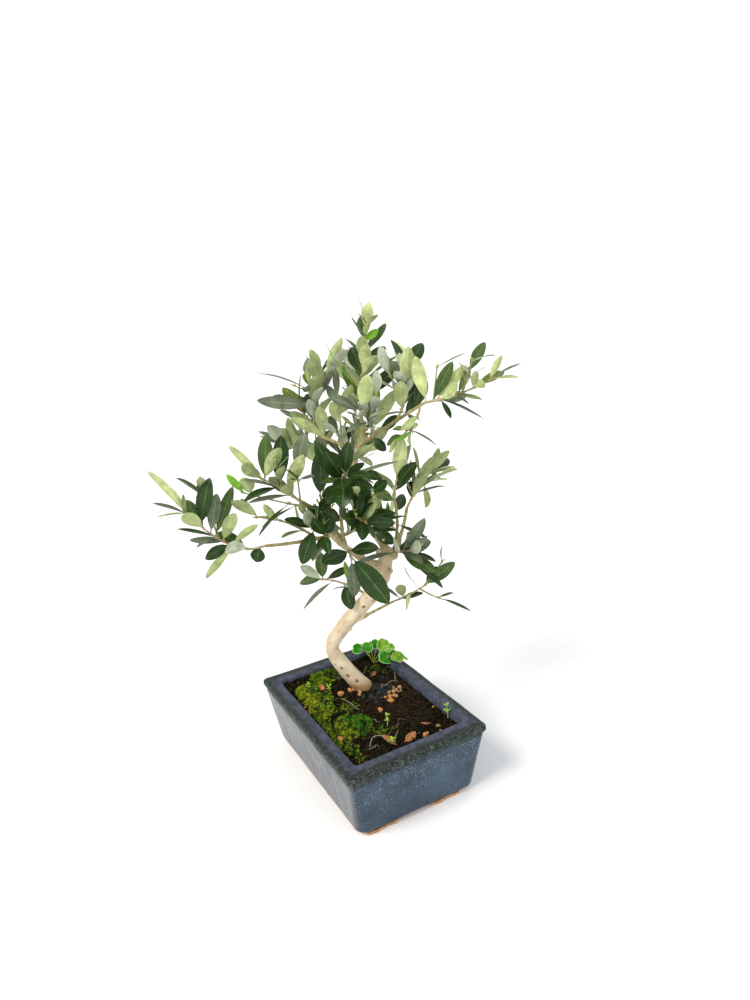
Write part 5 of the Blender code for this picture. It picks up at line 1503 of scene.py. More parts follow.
def outline(half, corner, z, apart=WALL_STEP):
    """Points round a rectangle with arcs for corners; the number along each side follows the rim's size."""
    signs = ((1, 1), (-1, 1), (-1, -1), (1, -1))

    def on_arc(turn, angle):
        sx, sy = signs[turn % 4]
        return (sx * (half[0] - corner) + corner * math.cos(angle),
                sy * (half[1] - corner) + corner * math.sin(angle), z)

    points = []
    for turn in range(4):
        for step in range(CORNER_POINTS):
            points.append(on_arc(turn, 0.5 * math.pi * (turn + step / (CORNER_POINTS - 1))))
        start = points[-1]
        after = on_arc(turn + 1, 0.5 * math.pi * (turn + 1))
        count = round(2.0 * RIM_HALF[turn % 2] / apart)
        points += [blend(start, after, step / count) for step in range(1, count)]
    return np.array(points)


def spread(half, by):
    return half[0] + by, half[1] + by


def round_edge(half, corner, size, turns):
    """Levels over one edge of the rim's top; the size is below 0 for the edge that faces out."""
    return [(spread(half, size * (1.0 - math.cos(turn))), corner,
             RIM_TOP - abs(size) * (1.0 - math.sin(turn))) for turn in np.radians(turns)]


def pot_levels():
    """The same profile as the solid's, with round edges, a groove under the rim and rows up the walls."""
    low = RIM_TOP - RIM_DEEP
    head = spread(RIM_HALF, -RIM_STEP)
    levels = [(PANEL_HALF, RIM_CORNER, 0.0), (spread(PANEL_HALF, PANEL_DRAFT), RIM_CORNER, UNDERSIDE)]
    for turn in np.radians(FOOT_TURNS):
        by = FOOT_ROUND * (math.sin(turn) - 1.0)
        high = UNDERSIDE + FOOT_ROUND * (1.0 - math.cos(turn))
        levels.append((spread(WALL_FOOT_HALF, by), WALL_CORNER + by, high))
    foot = levels[-1]
    top = (spread(head, -0.3), HEAD_CORNER, low - 3.0)
    for share in np.linspace(0.0, 1.0, WALL_ROWS)[1:]:
        levels.append((blend(foot[0], top[0], share), *blend(foot[1:], top[1:], share)))
    levels += [
        (spread(head, -0.2), HEAD_CORNER, low - 1.6),
        (spread(head, -GROOVE), HEAD_CORNER, low - 0.8),
        (spread(head, -GROOVE), HEAD_CORNER, low - 0.2),
        (spread(RIM_HALF, -1.3), RIM_CORNER, low),
        (spread(RIM_HALF, -0.4), RIM_CORNER, low + 0.35),
        (RIM_HALF, RIM_CORNER, low + 1.1),
        (RIM_HALF, RIM_CORNER, RIM_TOP - 2.0),
    ]
    levels += round_edge(RIM_HALF, RIM_CORNER, -OUTER_ROUND, OUTER_TURNS)
    flat = tuple(0.5 * (a + b) for a, b in zip(RIM_HALF, INNER_HALF))
    levels.append((flat, RIM_CORNER, RIM_TOP - RIM_DISH))
    levels += round_edge(INNER_HALF, INNER_CORNER, INNER_ROUND, INNER_TURNS)
    for share in INNER_SHARES:
        high = RIM_TOP - INNER_ROUND + share * (FLOOR_TOP - RIM_TOP + INNER_ROUND)
        levels.append((blend(INNER_HALF, FLOOR_HALF, share), INNER_CORNER, high))
    return levels


def uneven(point, seed):
    """The large waves and small dimples of hand work."""
    return UNEVEN[1] * wave(point, UNEVEN[0], seed) + DIMPLED[1] * wave(point, DIMPLED[0], seed + 1.0)


def make_pot():
    """Slots: 0 wall glaze, 1 rim glaze, 2 bare clay."""
    levels = pot_levels()
    points, faces = loft([outline(*level) for level in levels])
    for k in range(PANEL_LEVELS * len(points) // len(levels), len(points)):
        point = points[k]
        out = np.array((point[0] / RIM_HALF[0] ** 2, point[1] / RIM_HALF[1] ** 2, 0.0))
        out = out / np.linalg.norm(out)
        lift = uneven(point, 4.0) if point[2] > LIFT_FROM else 0.0
        points[k] = point + uneven(point, 0.0) * out + (0.0, 0.0, lift)
        for middle, size in CHIPS:
            near = np.linalg.norm(points[k] - middle)
            if near < size:
                points[k] -= CHIP_DEEP * (1.0 - near / size) * out
    slots = []
    for face in faces:
        middle = points[list(face)].mean(axis=0)
        chipped = any(np.linalg.norm(middle - at) < CHIP_BARE * size for at, size in CHIPS)
        inside = (middle[2] < RIM_TOP - GLAZE_INSIDE and abs(middle[0]) < INNER_HALF[0]
                  and abs(middle[1]) < INNER_HALF[1])
        edge = GLAZE_END[0] + GLAZE_END[1] * wave(middle, GLAZE_END[2], 3.0)
        if chipped or inside or middle[2] < edge:
            slots.append(2)
        else:
            slots.append(1 if middle[2] > RIM_TOP - RIM_DEEP - RIM_GLAZE else 0)
    skin = Skin()
    skin.add(points, faces, slots)
    place(skin.build("glazed_pot", [paint_glaze(), paint_rim(), paint_clay()]), "glaze", "pot")


def make_feet():
    """Low slabs with worn edges, bare clay, each a little uneven."""
    skin = Skin()
    low = UNDERSIDE - CLEAR - FOOT_HIGH
    nodes = []
    for end, y in (("front", -FEET_Y), ("back", FEET_Y)):
        for side, x in zip(("left", "right"), FEET_X):
            rings = [outline(spread(FOOT_HALF, by), FOOT_CORNER, low + z, FOOT_STEP) + np.array((x, y, 0.0))
                     for by, z in FOOT_LEVELS]
            points, faces = loft(rings)
            for k in range(len(rings[0]), len(points)):
                sway = [wave(points[k], FOOT_WAVE[0], seed) for seed in (1.0, 2.0)]
                points[k] += FOOT_WAVE[1] * np.array((*sway, 0.0))
            skin.add(points, faces)
            nodes.append(f"foot_{end}_{side}")
    place(skin.build("clay_feet", [paint_clay()]), "clay", *nodes)


# Soil: the mound round the trunk, coarse and fine unevenness, crumbs and fibres
TRUNK_PLACE = (9.5, 22.1)
SOIL_ROWS = 56
SOIL_STEP = 1.3
SOIL_SUNK = 0.9
SOIL_WAVES = ((15.0, 1.0), (5.0, 0.8), (2.0, 0.45))
MOUND = (14.0, 1.6)
CRUMBS = 3600
CRUMB_RADII = (0.35, 1.25)
FIBRES = 800
PALE_FIBRES = 12
BANKS = ((9.0, 3.0), (4.0, 1.2))
INNER_EDGE = 0.8
SOIL_BELOW_RIM = 0.6
SOIL_HUB = 0.02
WAVE_SHIFT = 3.1

# Crumbs and pebbles: their least radius, how far their middle is over the soil, and their shape
CRUMB_LEAST = 0.15
CRUMB_UP = 0.25
CRUMB_COLOURS = (5, 3, 2)
PEBBLE_EDGE = (38.5, 59.0)
PEBBLE_UP = 0.45
PEBBLE_FLAT = 0.85
PEBBLE_RISE = 0.55
PEBBLE_WAVES = 1.3
PEBBLE_SHAPE = ((0.8, 1.2), (0.7, 1.1))

# Fibres: more of them on the right. The length and radius of the common ones and then of the pale ones
FIBRE_MARGIN = 3.0
FIBRES_RIGHT = 0.55
FIBRE_BAND = (-40, 30)
FIBRE_EDGE = (39.5, 60.0)
FIBRE_LONG = ((4, 11), (6, 16))
FIBRE_RADII = ((0.08, 0.19), (0.07, 0.12))
FIBRE_POINTS = 5
FIBRE_TURN = 0.6
FIBRE_UP = (0.2, 1.5)


def soil_half(z):
    return blend(FLOOR_HALF, INNER_HALF, (z - FLOOR_TOP) / (RIM_TOP - INNER_EDGE - FLOOR_TOP))


def ground(x, y):
    """Height of the soil at a place in the pot; it is banked up at the back and the left."""
    high = SOIL_TOP - SOIL_SUNK
    for k, (size, rise) in enumerate(SOIL_WAVES):
        high += rise * noise.noise(Vector((x / size, y / size, WAVE_SHIFT * k)))
    far = math.hypot(x - TRUNK_PLACE[0], y - TRUNK_PLACE[1])
    high += MOUND[1] * math.exp(-(far / MOUND[0]) ** 2)
    for gap, (reach, rise) in zip((INNER_HALF[1] - y, INNER_HALF[0] + x), BANKS):
        high += rise * math.exp(-max(0.0, gap) / reach)
    return min(high, RIM_TOP - SOIL_BELOW_RIM)


def keep_in(x, y, edge):
    """The place, moved in where it lies past the edge of the soil."""
    return tuple(min(far, max(-far, value)) for value, far in zip((x, y), edge))


def make_soil():
    half = spread(soil_half(SOIL_TOP), -CLEAR)
    bottom = outline(spread(FLOOR_HALF, -CLEAR), INNER_CORNER, FLOOR_TOP + CLEAR, SOIL_STEP)
    rings = [bottom]
    for share in np.linspace(1.0, SOIL_HUB, SOIL_ROWS):
        ring = outline(half, INNER_CORNER, 0.0, SOIL_STEP) * share
        ring[:, 2] = [ground(x, y) for x, y, _ in ring]
        rings.append(ring)
    skin = Skin()
    skin.add(*loft(rings))
    place(skin.build("soil_bed", [paint_soil()], smooth=180.0), "soil", "soil")


def lump(middle, radius, rng, flat=0.8, detail=1):
    """Points and faces of an uneven pebble."""
    bm = bmesh.new()
    bmesh.ops.create_icosphere(bm, subdivisions=detail, radius=1.0)
    shift = Vector((rng.uniform(0, 90), 0, 0))
    points = np.array([
        vert.co * (1.0 + PEBBLE_RISE * noise.noise(vert.co * PEBBLE_WAVES + shift)) for vert in bm.verts
    ])
    faces = [tuple(vert.index for vert in face.verts) for face in bm.faces]
    bm.free()
    turn = rng.uniform(0, FULL_TURN)
    turned = np.array(Matrix.Rotation(turn, 3, (rng.random(), rng.random(), rng.random() + 0.1)))
    shape = (rng.uniform(*PEBBLE_SHAPE[0]), rng.uniform(*PEBBLE_SHAPE[1]), flat)
    return radius * (points * shape) @ turned.T + np.array(middle), faces


def spot(rng, margin=1.0):
    half = soil_half(SOIL_TOP)
    return rng.uniform(margin - half[0], half[0] - margin), rng.uniform(margin - half[1], half[1] - margin)


def make_crumbs():
    """Slots: 0 black, 1 brown, 2 reddish, 3 dark wet stone, 4 ochre, 5 beige."""
    rng = random.Random(SEEDS["crumbs"])
    skin = Skin()
    for _ in range(CRUMBS):
        x, y = spot(rng)
        radius = rng.uniform(*CRUMB_RADII) * rng.random() ** 0.5 + CRUMB_LEAST
        middle = (x, y, ground(x, y) + CRUMB_UP * radius)
        skin.add(*lump(middle, radius, rng), rng.choices((0, 1, 2), CRUMB_COLOURS)[0])
    for (x, y), reach, count, radii, slot in PEBBLES:
        for _ in range(count):
            px, py = keep_in(x + rng.gauss(0, reach), y + rng.gauss(0, reach), PEBBLE_EDGE)
            radius = rng.uniform(*radii)
            middle = (px, py, ground(px, py) + PEBBLE_UP * radius)
            skin.add(*lump(middle, radius, rng, PEBBLE_FLAT, 2), slot)
    place(skin.build("soil_crumbs", plain_paints("crumbs"), smooth=70.0), "soil")


# Stones and pellets: where, how far they scatter, how many, their radii, and their slot
PEBBLES = (
    ((-9, 24), 0.5, 2, (1.8, 2.4), 4), ((0, 23), 1.0, 3, (1.4, 2.4), 4),
    ((4, 17), 1.2, 3, (1.0, 1.7), 5), ((-17, 40), 0.6, 2, (1.8, 2.3), 4),
    ((27, 4), 3.0, 16, (0.9, 1.8), 5), ((24, 9), 3.4, 14, (0.8, 1.6), 5),
    ((17, -5), 0.6, 2, (1.7, 2.1), 4), ((20, -1), 1.6, 5, (1.0, 1.7), 4),
    ((5, -11), 0.5, 2, (1.7, 2.2), 4), ((-34, -25), 0.4, 1, (1.6, 2.0), 4),
    ((16, -55), 0.8, 3, (1.2, 2.0), 4), ((26, -52), 1.6, 4, (0.9, 1.5), 5),
    ((17, 11), 4.0, 26, (1.2, 2.9), 3), ((9, 4), 3.4, 14, (1.0, 2.3), 3),
    ((30, 26), 6.0, 12, (0.9, 2.2), 3), ((0, 0), 30.0, 9, (0.7, 1.2), 4),
)


def strand(points, radius, sides=4):
    line = smooth_line(points, 3)
    thin = radius * (0.35 + 0.65 * np.sin(np.linspace(0.5, 2.9, len(line))))
    return tube(Limb(line, thin), sides)


def make_fibres():
    """Root hairs and bits of husk that lie about on the soil. Slots: 0 brown, 1 reddish, 2 pale."""
    rng = random.Random(SEEDS["fibres"])
    skin = Skin()
    for k in range(FIBRES + PALE_FIBRES):
        pale = k >= FIBRES
        x, y = spot(rng, FIBRE_MARGIN)
        if not pale and rng.random() < FIBRES_RIGHT:
            x, y = abs(x), rng.uniform(*FIBRE_BAND)
        heading = rng.uniform(0, FULL_TURN)
        long = rng.uniform(*FIBRE_LONG[pale])
        line = []
        for share in np.linspace(0.0, 1.0, FIBRE_POINTS):
            heading += rng.uniform(-FIBRE_TURN, FIBRE_TURN)
            out = share * long * math.cos(heading), share * long * math.sin(heading)
            px, py = keep_in(x + out[0], y + out[1], FIBRE_EDGE)
            line.append((px, py, ground(px, py) + rng.uniform(*FIBRE_UP)))
        radius = rng.uniform(*FIBRE_RADII[pale])
        skin.add(*strand(line, radius), 2 if pale else rng.choice((0, 0, 1)))
    for line, radius in ROOTLETS:
        skin.add(*strand([(x, y, ground(x, y) + up) for x, y, up in line], radius), 2)
    place(skin.build("soil_fibres", plain_paints("fibres")), "soil")


# Pale rootlets that show plainest: their points, with the height over the soil, and radius
ROOTLETS = (
    (((14, 19, 1.0), (20, 16, 2.0), (25, 15, 1.6), (30, 15, 3.0), (35, 13, 1.5)), 0.17),
    (((33, 15, 2.0), (34, 16, 5.0), (34, 17, 8.0)), 0.15),
    (((-12, 20, 1.0), (-10, 12, 2.0), (-9, 4, 2.6), (-7, -2, 1.0)), 0.13),
    (((-22, -44, 1.0), (-17, -41, 4.5), (-11, -44, 4.0), (-9, -50, 1.0)), 0.16),
    (((-6, -52, 0.6), (-3, -46, 1.5), (2, -42, 2.2)), 0.12),
)


# Moss: tufts on clumpy cushions, and loose ones between them
TUFT_APART = 0.95
TUFT_CROWD = 1.35
TUFT_BLADES = 7
TUFT_TURN = 6.283
TUFT_SIDE = (0.3, 0.8, 0.1)
TUFT_LEAN = (0.25, 1.05)
TUFT_OPEN = 0.15
TUFT_UP = 0.35
TUFT_SUNK = 0.3
TUFT_STEP = 0.05
TUFT_SIZES = (0.75, 1.25)
BLADE_LONG = (1.0, 1.9)
BLADE_WIDE = (0.17, 0.06)
RISE_LAST = 1.57
SLIGHT = 1e-6
TINT_WAVE = (6.0, 5.0)
SHADE_WAVE = (7.0, 1.1)
MOSS_ROUGH = (1.9, 0.2)
MOSS_LEFT = -40.6
MOSS_LEAST = 0.5
MOSS_BODY = 0.75
MOSS_SUNK = 0.6
MOSS_DOME = 0.7
BED_RISE = 0.48
BED_ROWS = 12
BED_POINTS = 60
BED_SHARE = 0.97
BED_DEEP = 2.0
CLUMP = (6.5, 3.4)
CLUMP_SHAPE = (0.5, 2.2)
GAP_FROM = 0.52
GAP_BARE = 0.7

# Loose tufts: where, how far they scatter and how many; how they lie, and the ends of the soil both ways
LOOSE_SPREAD = 0.6
LOOSE_EDGE = ((-40.3, 40.0), (-60.6, 60.6))
LOOSE_TINTS = (3, 4, 3)
LOOSE_LEAN = 0.3
LOOSE_SIZES = (0.7, 1.2)
LOOSE_TUFTS = (
    ((-36, -2), (3.0, 16.0), 190), ((-37, -24), (2.5, 12.0), 150), ((-33, -40), (4.0, 12.0), 90),
    ((-20, 50), (12.0, 6.0), 110), ((5, 56), (9.0, 3.5), 60), ((-8, -34), (8.0, 5.0), 60),
    ((-12, 6), (7.0, 7.0), 90), ((30, 40), (7.0, 9.0), 50),
)


def clump_gap(x, y):
    """How far a place is from the middle of its clump, from 0 to about 0.8 at the gaps between clumps."""
    return noise.voronoi(Vector((x / CLUMP[0], y / CLUMP[0], 0.0)))[0][0]


def cushion_place(cushion, angle, rise, over=1.0):
    """A place on the cushion's dome: round it by the angle, and up it by the rise, 0 to a quarter turn."""
    edge = 1.0 + MOSS_WAVE * math.sin(3.0 * angle + cushion.turn)
    round_it = (MOSS_ROUGH[0] * math.cos(angle), MOSS_ROUGH[0] * math.sin(angle), cushion.turn)
    edge += MOSS_ROUGH[1] * noise.noise(Vector(round_it))
    share = edge * math.cos(rise) * over
    x = max(MOSS_LEFT, cushion.middle[0] + share * cushion.half[0] * math.cos(angle))
    y = cushion.middle[1] + share * cushion.half[1] * math.sin(angle)
    clump = CLUMP[1] * (CLUMP_SHAPE[0] - CLUMP_SHAPE[1] * clump_gap(x, y) ** 2)
    high = max(MOSS_LEAST, MOSS_BODY * cushion.high + clump)
    return np.array((x, y, ground(x, y) - MOSS_SUNK + high * math.sin(rise) ** MOSS_DOME))


def tuft(skin, root, way, rng, slot, size=1.0):
    """A star of pointed blades, each a thin closed spike."""
    way = unit(way)
    side = unit(np.cross(way, TUFT_SIDE))
    up = np.cross(way, side)
    for k in range(TUFT_BLADES):
        turn = TUFT_TURN * (k + rng.random()) / TUFT_BLADES
        lean = rng.uniform(*TUFT_LEAN)
        out = math.cos(turn) * side + math.sin(turn) * up
        axis = math.cos(lean) * way + math.sin(lean) * out
        flat = unit(np.cross(axis, out))
        thick = np.cross(flat, axis)
        long = size * rng.uniform(*BLADE_LONG)
        wide = BLADE_WIDE[0] * size + BLADE_WIDE[1]
        base = root + TUFT_OPEN * out
        points = (base - wide * flat, base + wide * flat, base + 0.8 * wide * thick, base + long * axis)
        skin.add(points, ((0, 2, 1), (0, 1, 3), (1, 2, 3), (2, 0, 3)), slot)


def add_cushion(skin, cushion):
    """The dark bed under the tufts."""
    rings = []
    for rise in np.linspace(0.0, BED_RISE, BED_ROWS) * math.pi:
        rings.append([cushion_place(cushion, angle, rise, BED_SHARE) for angle in turns_round(BED_POINTS)])
    low = np.array(rings[0])
    low[:, 2] = SOIL_TOP - SOIL_SUNK - BED_DEEP
    skin.add(*loft([low] + rings), 3)


def add_tufts(skin, name, cushion, rng):
    """Tufts square to the cushion, fewer at the gaps between its clumps, in the tints of each side."""
    line, left_tints, right_tints, right_share = MOSS_TINTS[name]
    area = math.pi * cushion.half[0] * cushion.half[1]
    for _ in range(round(TUFT_CROWD * area / TUFT_APART ** 2)):
        angle = rng.uniform(0.0, 2.0 * math.pi)
        rise = math.acos(math.sqrt(rng.random()))
        root = cushion_place(cushion, angle, rise)
        right = root[0] + TINT_WAVE[1] * noise.noise(Vector(root) / TINT_WAVE[0]) > line
        if right and rng.random() > right_share:
            continue
        if clump_gap(root[0], root[1]) > GAP_FROM and rng.random() < GAP_BARE:
            continue
        near = cushion_place(cushion, angle + TUFT_STEP, rise) - root
        above = cushion_place(cushion, angle, min(RISE_LAST, rise + TUFT_STEP)) - root
        way = np.cross(near, above)
        way = way if way[2] > 0 else -way
        way = unit(unit(way + SLIGHT) + np.array((0.0, 0.0, TUFT_UP)))
        shade = SHADE_WAVE[1] * noise.noise(Vector(root) / SHADE_WAVE[0])
        weights = right_tints if right else left_tints
        tint = min(2, max(0, round(rng.choices((0, 1, 2), weights)[0] + shade)))
        tuft(skin, root - TUFT_SUNK * way, way, rng, tint, rng.uniform(*TUFT_SIZES))


def add_loose_tufts(skin, rng):
    """Tufts scattered between the cushions."""
    for middle, reach, count in LOOSE_TUFTS:
        for _ in range(count):
            x, y = (min(high, max(low, rng.gauss(at, LOOSE_SPREAD * wide)))
                    for at, wide, (low, high) in zip(middle, reach, LOOSE_EDGE))
            tint = rng.choices((0, 1, 2), LOOSE_TINTS)[0]
            lean = [rng.uniform(-LOOSE_LEAN, LOOSE_LEAN) for _ in range(2)]
            way = np.array((*lean, 1.0))
            tuft(skin, np.array((x, y, ground(x, y))), way, rng, tint, rng.uniform(*LOOSE_SIZES))


# Shares of the three tints left and right of a line along the pot, and how many tufts grow right of it
MOSS_TINTS = {
    "moss_left": (-29.0, (6, 3, 0), (3, 3, 2), 0.35), "moss_front": (-23.0, (5, 3, 1), (0, 2, 6), 1.0),
    "moss_back": (-8.0, (2, 3, 2), (1, 3, 2), 0.6),
}


def make_moss():
    """Slots: 0 yellow, 1 green, 2 deep green, 3 the dark bed under the tufts."""
    rng = random.Random(SEEDS["moss"])
    for name, cushion in MOSS.items():
        skin = Skin()
        add_cushion(skin, cushion)
        add_tufts(skin, name, cushion, rng)
        if name == "moss_back":
            add_loose_tufts(skin, rng)
        place(skin.build(name + "_tufts", plain_paints("moss"), smooth=30.0), "moss", name)


# The wild sprig: each leaflet's root and tip, the way it faces, its width against its length, and its slot
SPRIG_AT = (34.0, 50.0)
SPRIG_LEAFLETS = (
    ((28, 55, 56), (20, 60, 58), (-0.5, -0.6, 0.7), 0.95, 0),
    ((30, 54, 52), (34, 57, 61), (-0.5, -0.8, 0.3), 0.95, 0),
    ((34, 53, 55), (42, 55, 61), (-0.1, -0.7, 0.7), 0.75, 0),
    ((39, 47, 53), (46, 50, 63), (-0.3, -0.8, 0.4), 0.90, 1),
    ((41, 46, 54), (52, 45, 57), (-0.1, -0.5, 0.9), 0.70, 1),
    ((34, 47, 50), (52, 36, 51), (-0.3, -0.6, 0.8), 0.62, 0),
    ((37, 47, 51), (49, 43, 55), (-0.4, -0.8, 0.5), 0.75, 1),
    ((44, 41, 52), (52, 31, 50), (-0.1, -0.4, 0.9), 0.85, 1),
    ((49, 36, 54), (54, 28, 50), (-0.3, -0.6, 0.8), 0.25, 1),
    ((31, 57, 54), (27, 65, 56), (-0.2, 0.1, 1.0), 0.85, 0),
    ((38, 52, 55), (40, 62, 58), (0.1, 0.1, 1.0), 0.85, 0),
)
SPRIG_BOW = 1.5
SPRIG_RADIUS = 0.36

# A leaflet: its rows from rim to middle, the points round it, its notch, and how it narrows, folds, arches
# and crumples
LEAFLET_ROWS = (1.0, 0.9, 0.55, 0.2)
LEAFLET_POINTS = 22
NOTCH = (0.16, 0.35)
LEAFLET_NARROW = 0.30
LEAFLET_FOLD = 0.28
LEAFLET_ARCH = 0.08
LEAFLET_THICK = 0.28
CRUMPLE = (0.045, 9.0, 7.0)


def leaflet(root, axis, face, long, wide, slot, skin):
    """A notched round leaflet, folded along its middle, with a pale rim."""
    axis = unit(axis)
    face = unit(face - axis * (face @ axis))
    side = np.cross(axis, face)
    points = []
    for layer in (0.5, -0.5):
        for share in LEAFLET_ROWS:
            for turn in np.linspace(-math.pi, math.pi, LEAFLET_POINTS, endpoint=False):
                notch = NOTCH[0] * math.exp(-(turn / NOTCH[1]) ** 2)
                radius = 0.5 * long * (1.0 - notch - LEAFLET_NARROW * (abs(turn) / math.pi) ** 3)
                along = 0.5 * long + share * radius * math.cos(turn)
                across = share * wide * radius * math.sin(turn)
                lift = LEAFLET_FOLD * abs(across) - LEAFLET_ARCH * along ** 2 / long
                lift += CRUMPLE[0] * long * math.sin(CRUMPLE[1] * along / long) * math.cos(
                    CRUMPLE[2] * across / long)
                thick = LEAFLET_THICK * layer * (1.0 - share ** 4)
                points.append(root + axis * along + side * across + face * (lift + thick))
    count, rows = LEAFLET_POINTS, len(LEAFLET_ROWS)
    faces, slots = [], []
    for layer, base in ((1, 0), (-1, rows * count)):
        for row in range(rows - 1):
            low = base + row * count
            for k in range(count):
                after = (k + 1) % count
                quad = (low + k, low + after, low + count + after, low + count + k)
                faces.append(quad[::layer])
                slots.append(slot if row else 2)
        hub = tuple(range(base + (rows - 1) * count, base + rows * count))
        faces.append(hub[::layer])
        slots.append(slot)
    for k in range(count):
        after = (k + 1) % count
        faces.append((k, rows * count + k, rows * count + after, after))
        slots.append(2)
    skin.add(np.array(points), faces, slots)


def make_sprig():
    """Slots: 0 green, 1 yellow-green, 2 pale rim, 3 stalk."""
    skin = Skin()
    foot = np.array((*SPRIG_AT, SOIL_TOP - 0.5))
    for root, tip, face, wide, slot in SPRIG_LEAFLETS:
        root = np.array(root, float)
        axis = np.array(tip, float) - root
        bow = 0.5 * (foot + root) + np.array((0.0, 0.0, SPRIG_BOW))
        skin.add(*strand([foot, bow, root], SPRIG_RADIUS, 6), 3)
        leaflet(root, axis, np.array(face), float(np.linalg.norm(axis)), wide, slot, skin)
    place(skin.build("sprig_leaves", plain_paints("sprig"), smooth=60.0), "leaves", "sprig_back")


def add_seedling(skin, foot, high, turn, rng):
    """A bent stalk with three leaflets half way up it and three at its tip."""
    lean = SEEDLING_LEAN * high
    tip = foot + np.array((lean * math.cos(turn), lean * math.sin(turn), high))
    bend = 0.5 * (foot + tip) + np.array(SEEDLING_BEND)
    skin.add(*strand([foot, bend, tip], SEEDLING_RADIUS, 5), 1)
    for level in SEEDLING_LEVELS:
        for k in range(3):
            angle = turn + THIRD_TURN * k + 1.3 * level
            axis = unit(np.array((math.cos(angle), math.sin(angle), SEEDLING_RISE)))
            face = unit(np.array((0.0, 0.0, 1.0)) - axis * axis[2])
            base = foot + level * (tip - foot)
            blade = Blade(base, axis, face, rng.uniform(*SEEDLING_LEAF[0]), *SEEDLING_LEAF[1:])
            skin.add(leaf_skin(blade, rng), LEAF_GRID, [0 if k else 1] * len(LEAF_GRID))


# Seedlings and dead leaves: where each stands or lies, how high or long it is, and the way it turns
SEEDLINGS = (((-1, -31), 9.0, 0.3), ((39, -47), 10.0, 1.2), ((-26, 44), 5.0, 2.0), ((-14, 33), 5.0, 2.6),
             ((-8, -50), 4.0, 0.2))
DEAD_LEAVES = (((-8, -47), 14.0, 1.8), ((5, -52), 12.0, 0.3), ((-17, 41), 9.0, 0.9), ((22, -46), 7.0, 2.7),
               ((24, 33), 7.0, 0.4))
SEEDLING_LEAN = 0.15
SEEDLING_BEND = (0.4, -0.3, 0.0)
SEEDLING_RADIUS = 0.28
SEEDLING_LEVELS = (0.55, 1.0)
SEEDLING_RISE = 0.55
SEEDLING_LEAF = ((2.2, 3.4), 1.7, 0.05, 0.2)
THIRD_TURN = 2.09
DEAD_UP = 2.2
DEAD_SHAPE = (-0.12, 0.55)
DEAD_CURL = 3.0


def make_litter():
    """Slots: 0 seedling green, 1 seedling yellow, 2 dead leaf, 3 its underside, 4 its rib."""
    rng = random.Random(SEEDS["litter"])
    skin = Skin()
    for (x, y), high, turn in SEEDLINGS:
        add_seedling(skin, np.array((x, y, ground(x, y) - 0.3)), high, turn, rng)
    for (x, y), long, turn in DEAD_LEAVES:
        axis = unit(np.array((math.cos(turn), math.sin(turn), 0.12)))
        face = np.array((0.3 * math.sin(turn), -0.3 * math.cos(turn), 1.0))
        base = np.array((x, y, ground(x, y) + DEAD_UP)) - 0.5 * long * axis
        blade = Blade(base, axis, unit(face - axis * (face @ axis)), long, 0.5 * long, *DEAD_SHAPE)
        skin.add(leaf_skin(blade, rng, DEAD_CURL), LEAF_GRID, [(2, 3, 4, 4)[slot] for slot in LEAF_SLOTS])
    place(skin.build("litter", plain_paints("litter"), smooth=60.0), "leaves")


def paint_glaze():
    """Deep blue-grey glaze with fine pale speckles, most of them high up, a painted reflection as paler
    grey streaks on the left wall, and painted shade in a darker band under the rim.
    """
    paint = Paint("glaze_wall", (0.04, 0.07, 0.11), 0.3, Specular_IOR_Level=0.22)
    clouds = paint.spots(26.0, 0.34, 0.68, detail=4.0, rough=0.6)
    base = paint.mix(clouds, (0.018, 0.036, 0.056), (0.034, 0.062, 0.096))
    # Painted reflection: paler grey streaks laid on the left wall stand in for the bright surroundings
    # mirrored in the glaze there.
    streaks = paint.spots(9.0, 0.42, 0.62, rough=0.6, stretch=(1.0, 1.0, 0.25))
    pale = paint.mix(streaks, (0.080, 0.082, 0.086), (0.130, 0.130, 0.135))
    slope = (RIM_HALF[0] - RIM_STEP - WALL_FOOT_HALF[0]) / (RIM_TOP - RIM_DEEP)
    upright = paint.math("ADD", paint.along("X"), paint.math("MULTIPLY", paint.along("Z"), slope))
    left = paint.between(upright, MM * (2.4 - WALL_FOOT_HALF[0]), MM * (0.5 - WALL_FOOT_HALF[0]))
    with_left_reflection = paint.laid(base, left, 0.85, pale)
    amount = paint.math("ADD", paint.math("MULTIPLY", paint.height(6.0, 36.0), 0.5), 0.2)
    fine = paint.spots(0.85, 0.50, 0.60, detail=2.0, rough=0.7)
    patches = paint.spots(12.0, 0.30, 0.66, detail=4.0, rough=0.65)
    strength = paint.math("MULTIPLY", paint.math("MULTIPLY", fine, patches), amount)
    speckles = paint.mix(strength, with_left_reflection, (0.21, 0.30, 0.38))
    # Painted shade: the wall is darkened in a band just under the rim's lip.
    shaded = paint.laid(speckles, paint.height(37.5, 43.0), 0.45, (0.016, 0.028, 0.028))
    pits = paint.between(paint.dots(2.4), 0.22, 0.12)
    paint.colour(paint.laid(shaded, pits, 0.7, (0.014, 0.024, 0.034)))
    paint.roughness(fine, 0.22, 0.40)
    paint.bumps(paint.noise(1.1, 3.0), 0.12)
    return paint


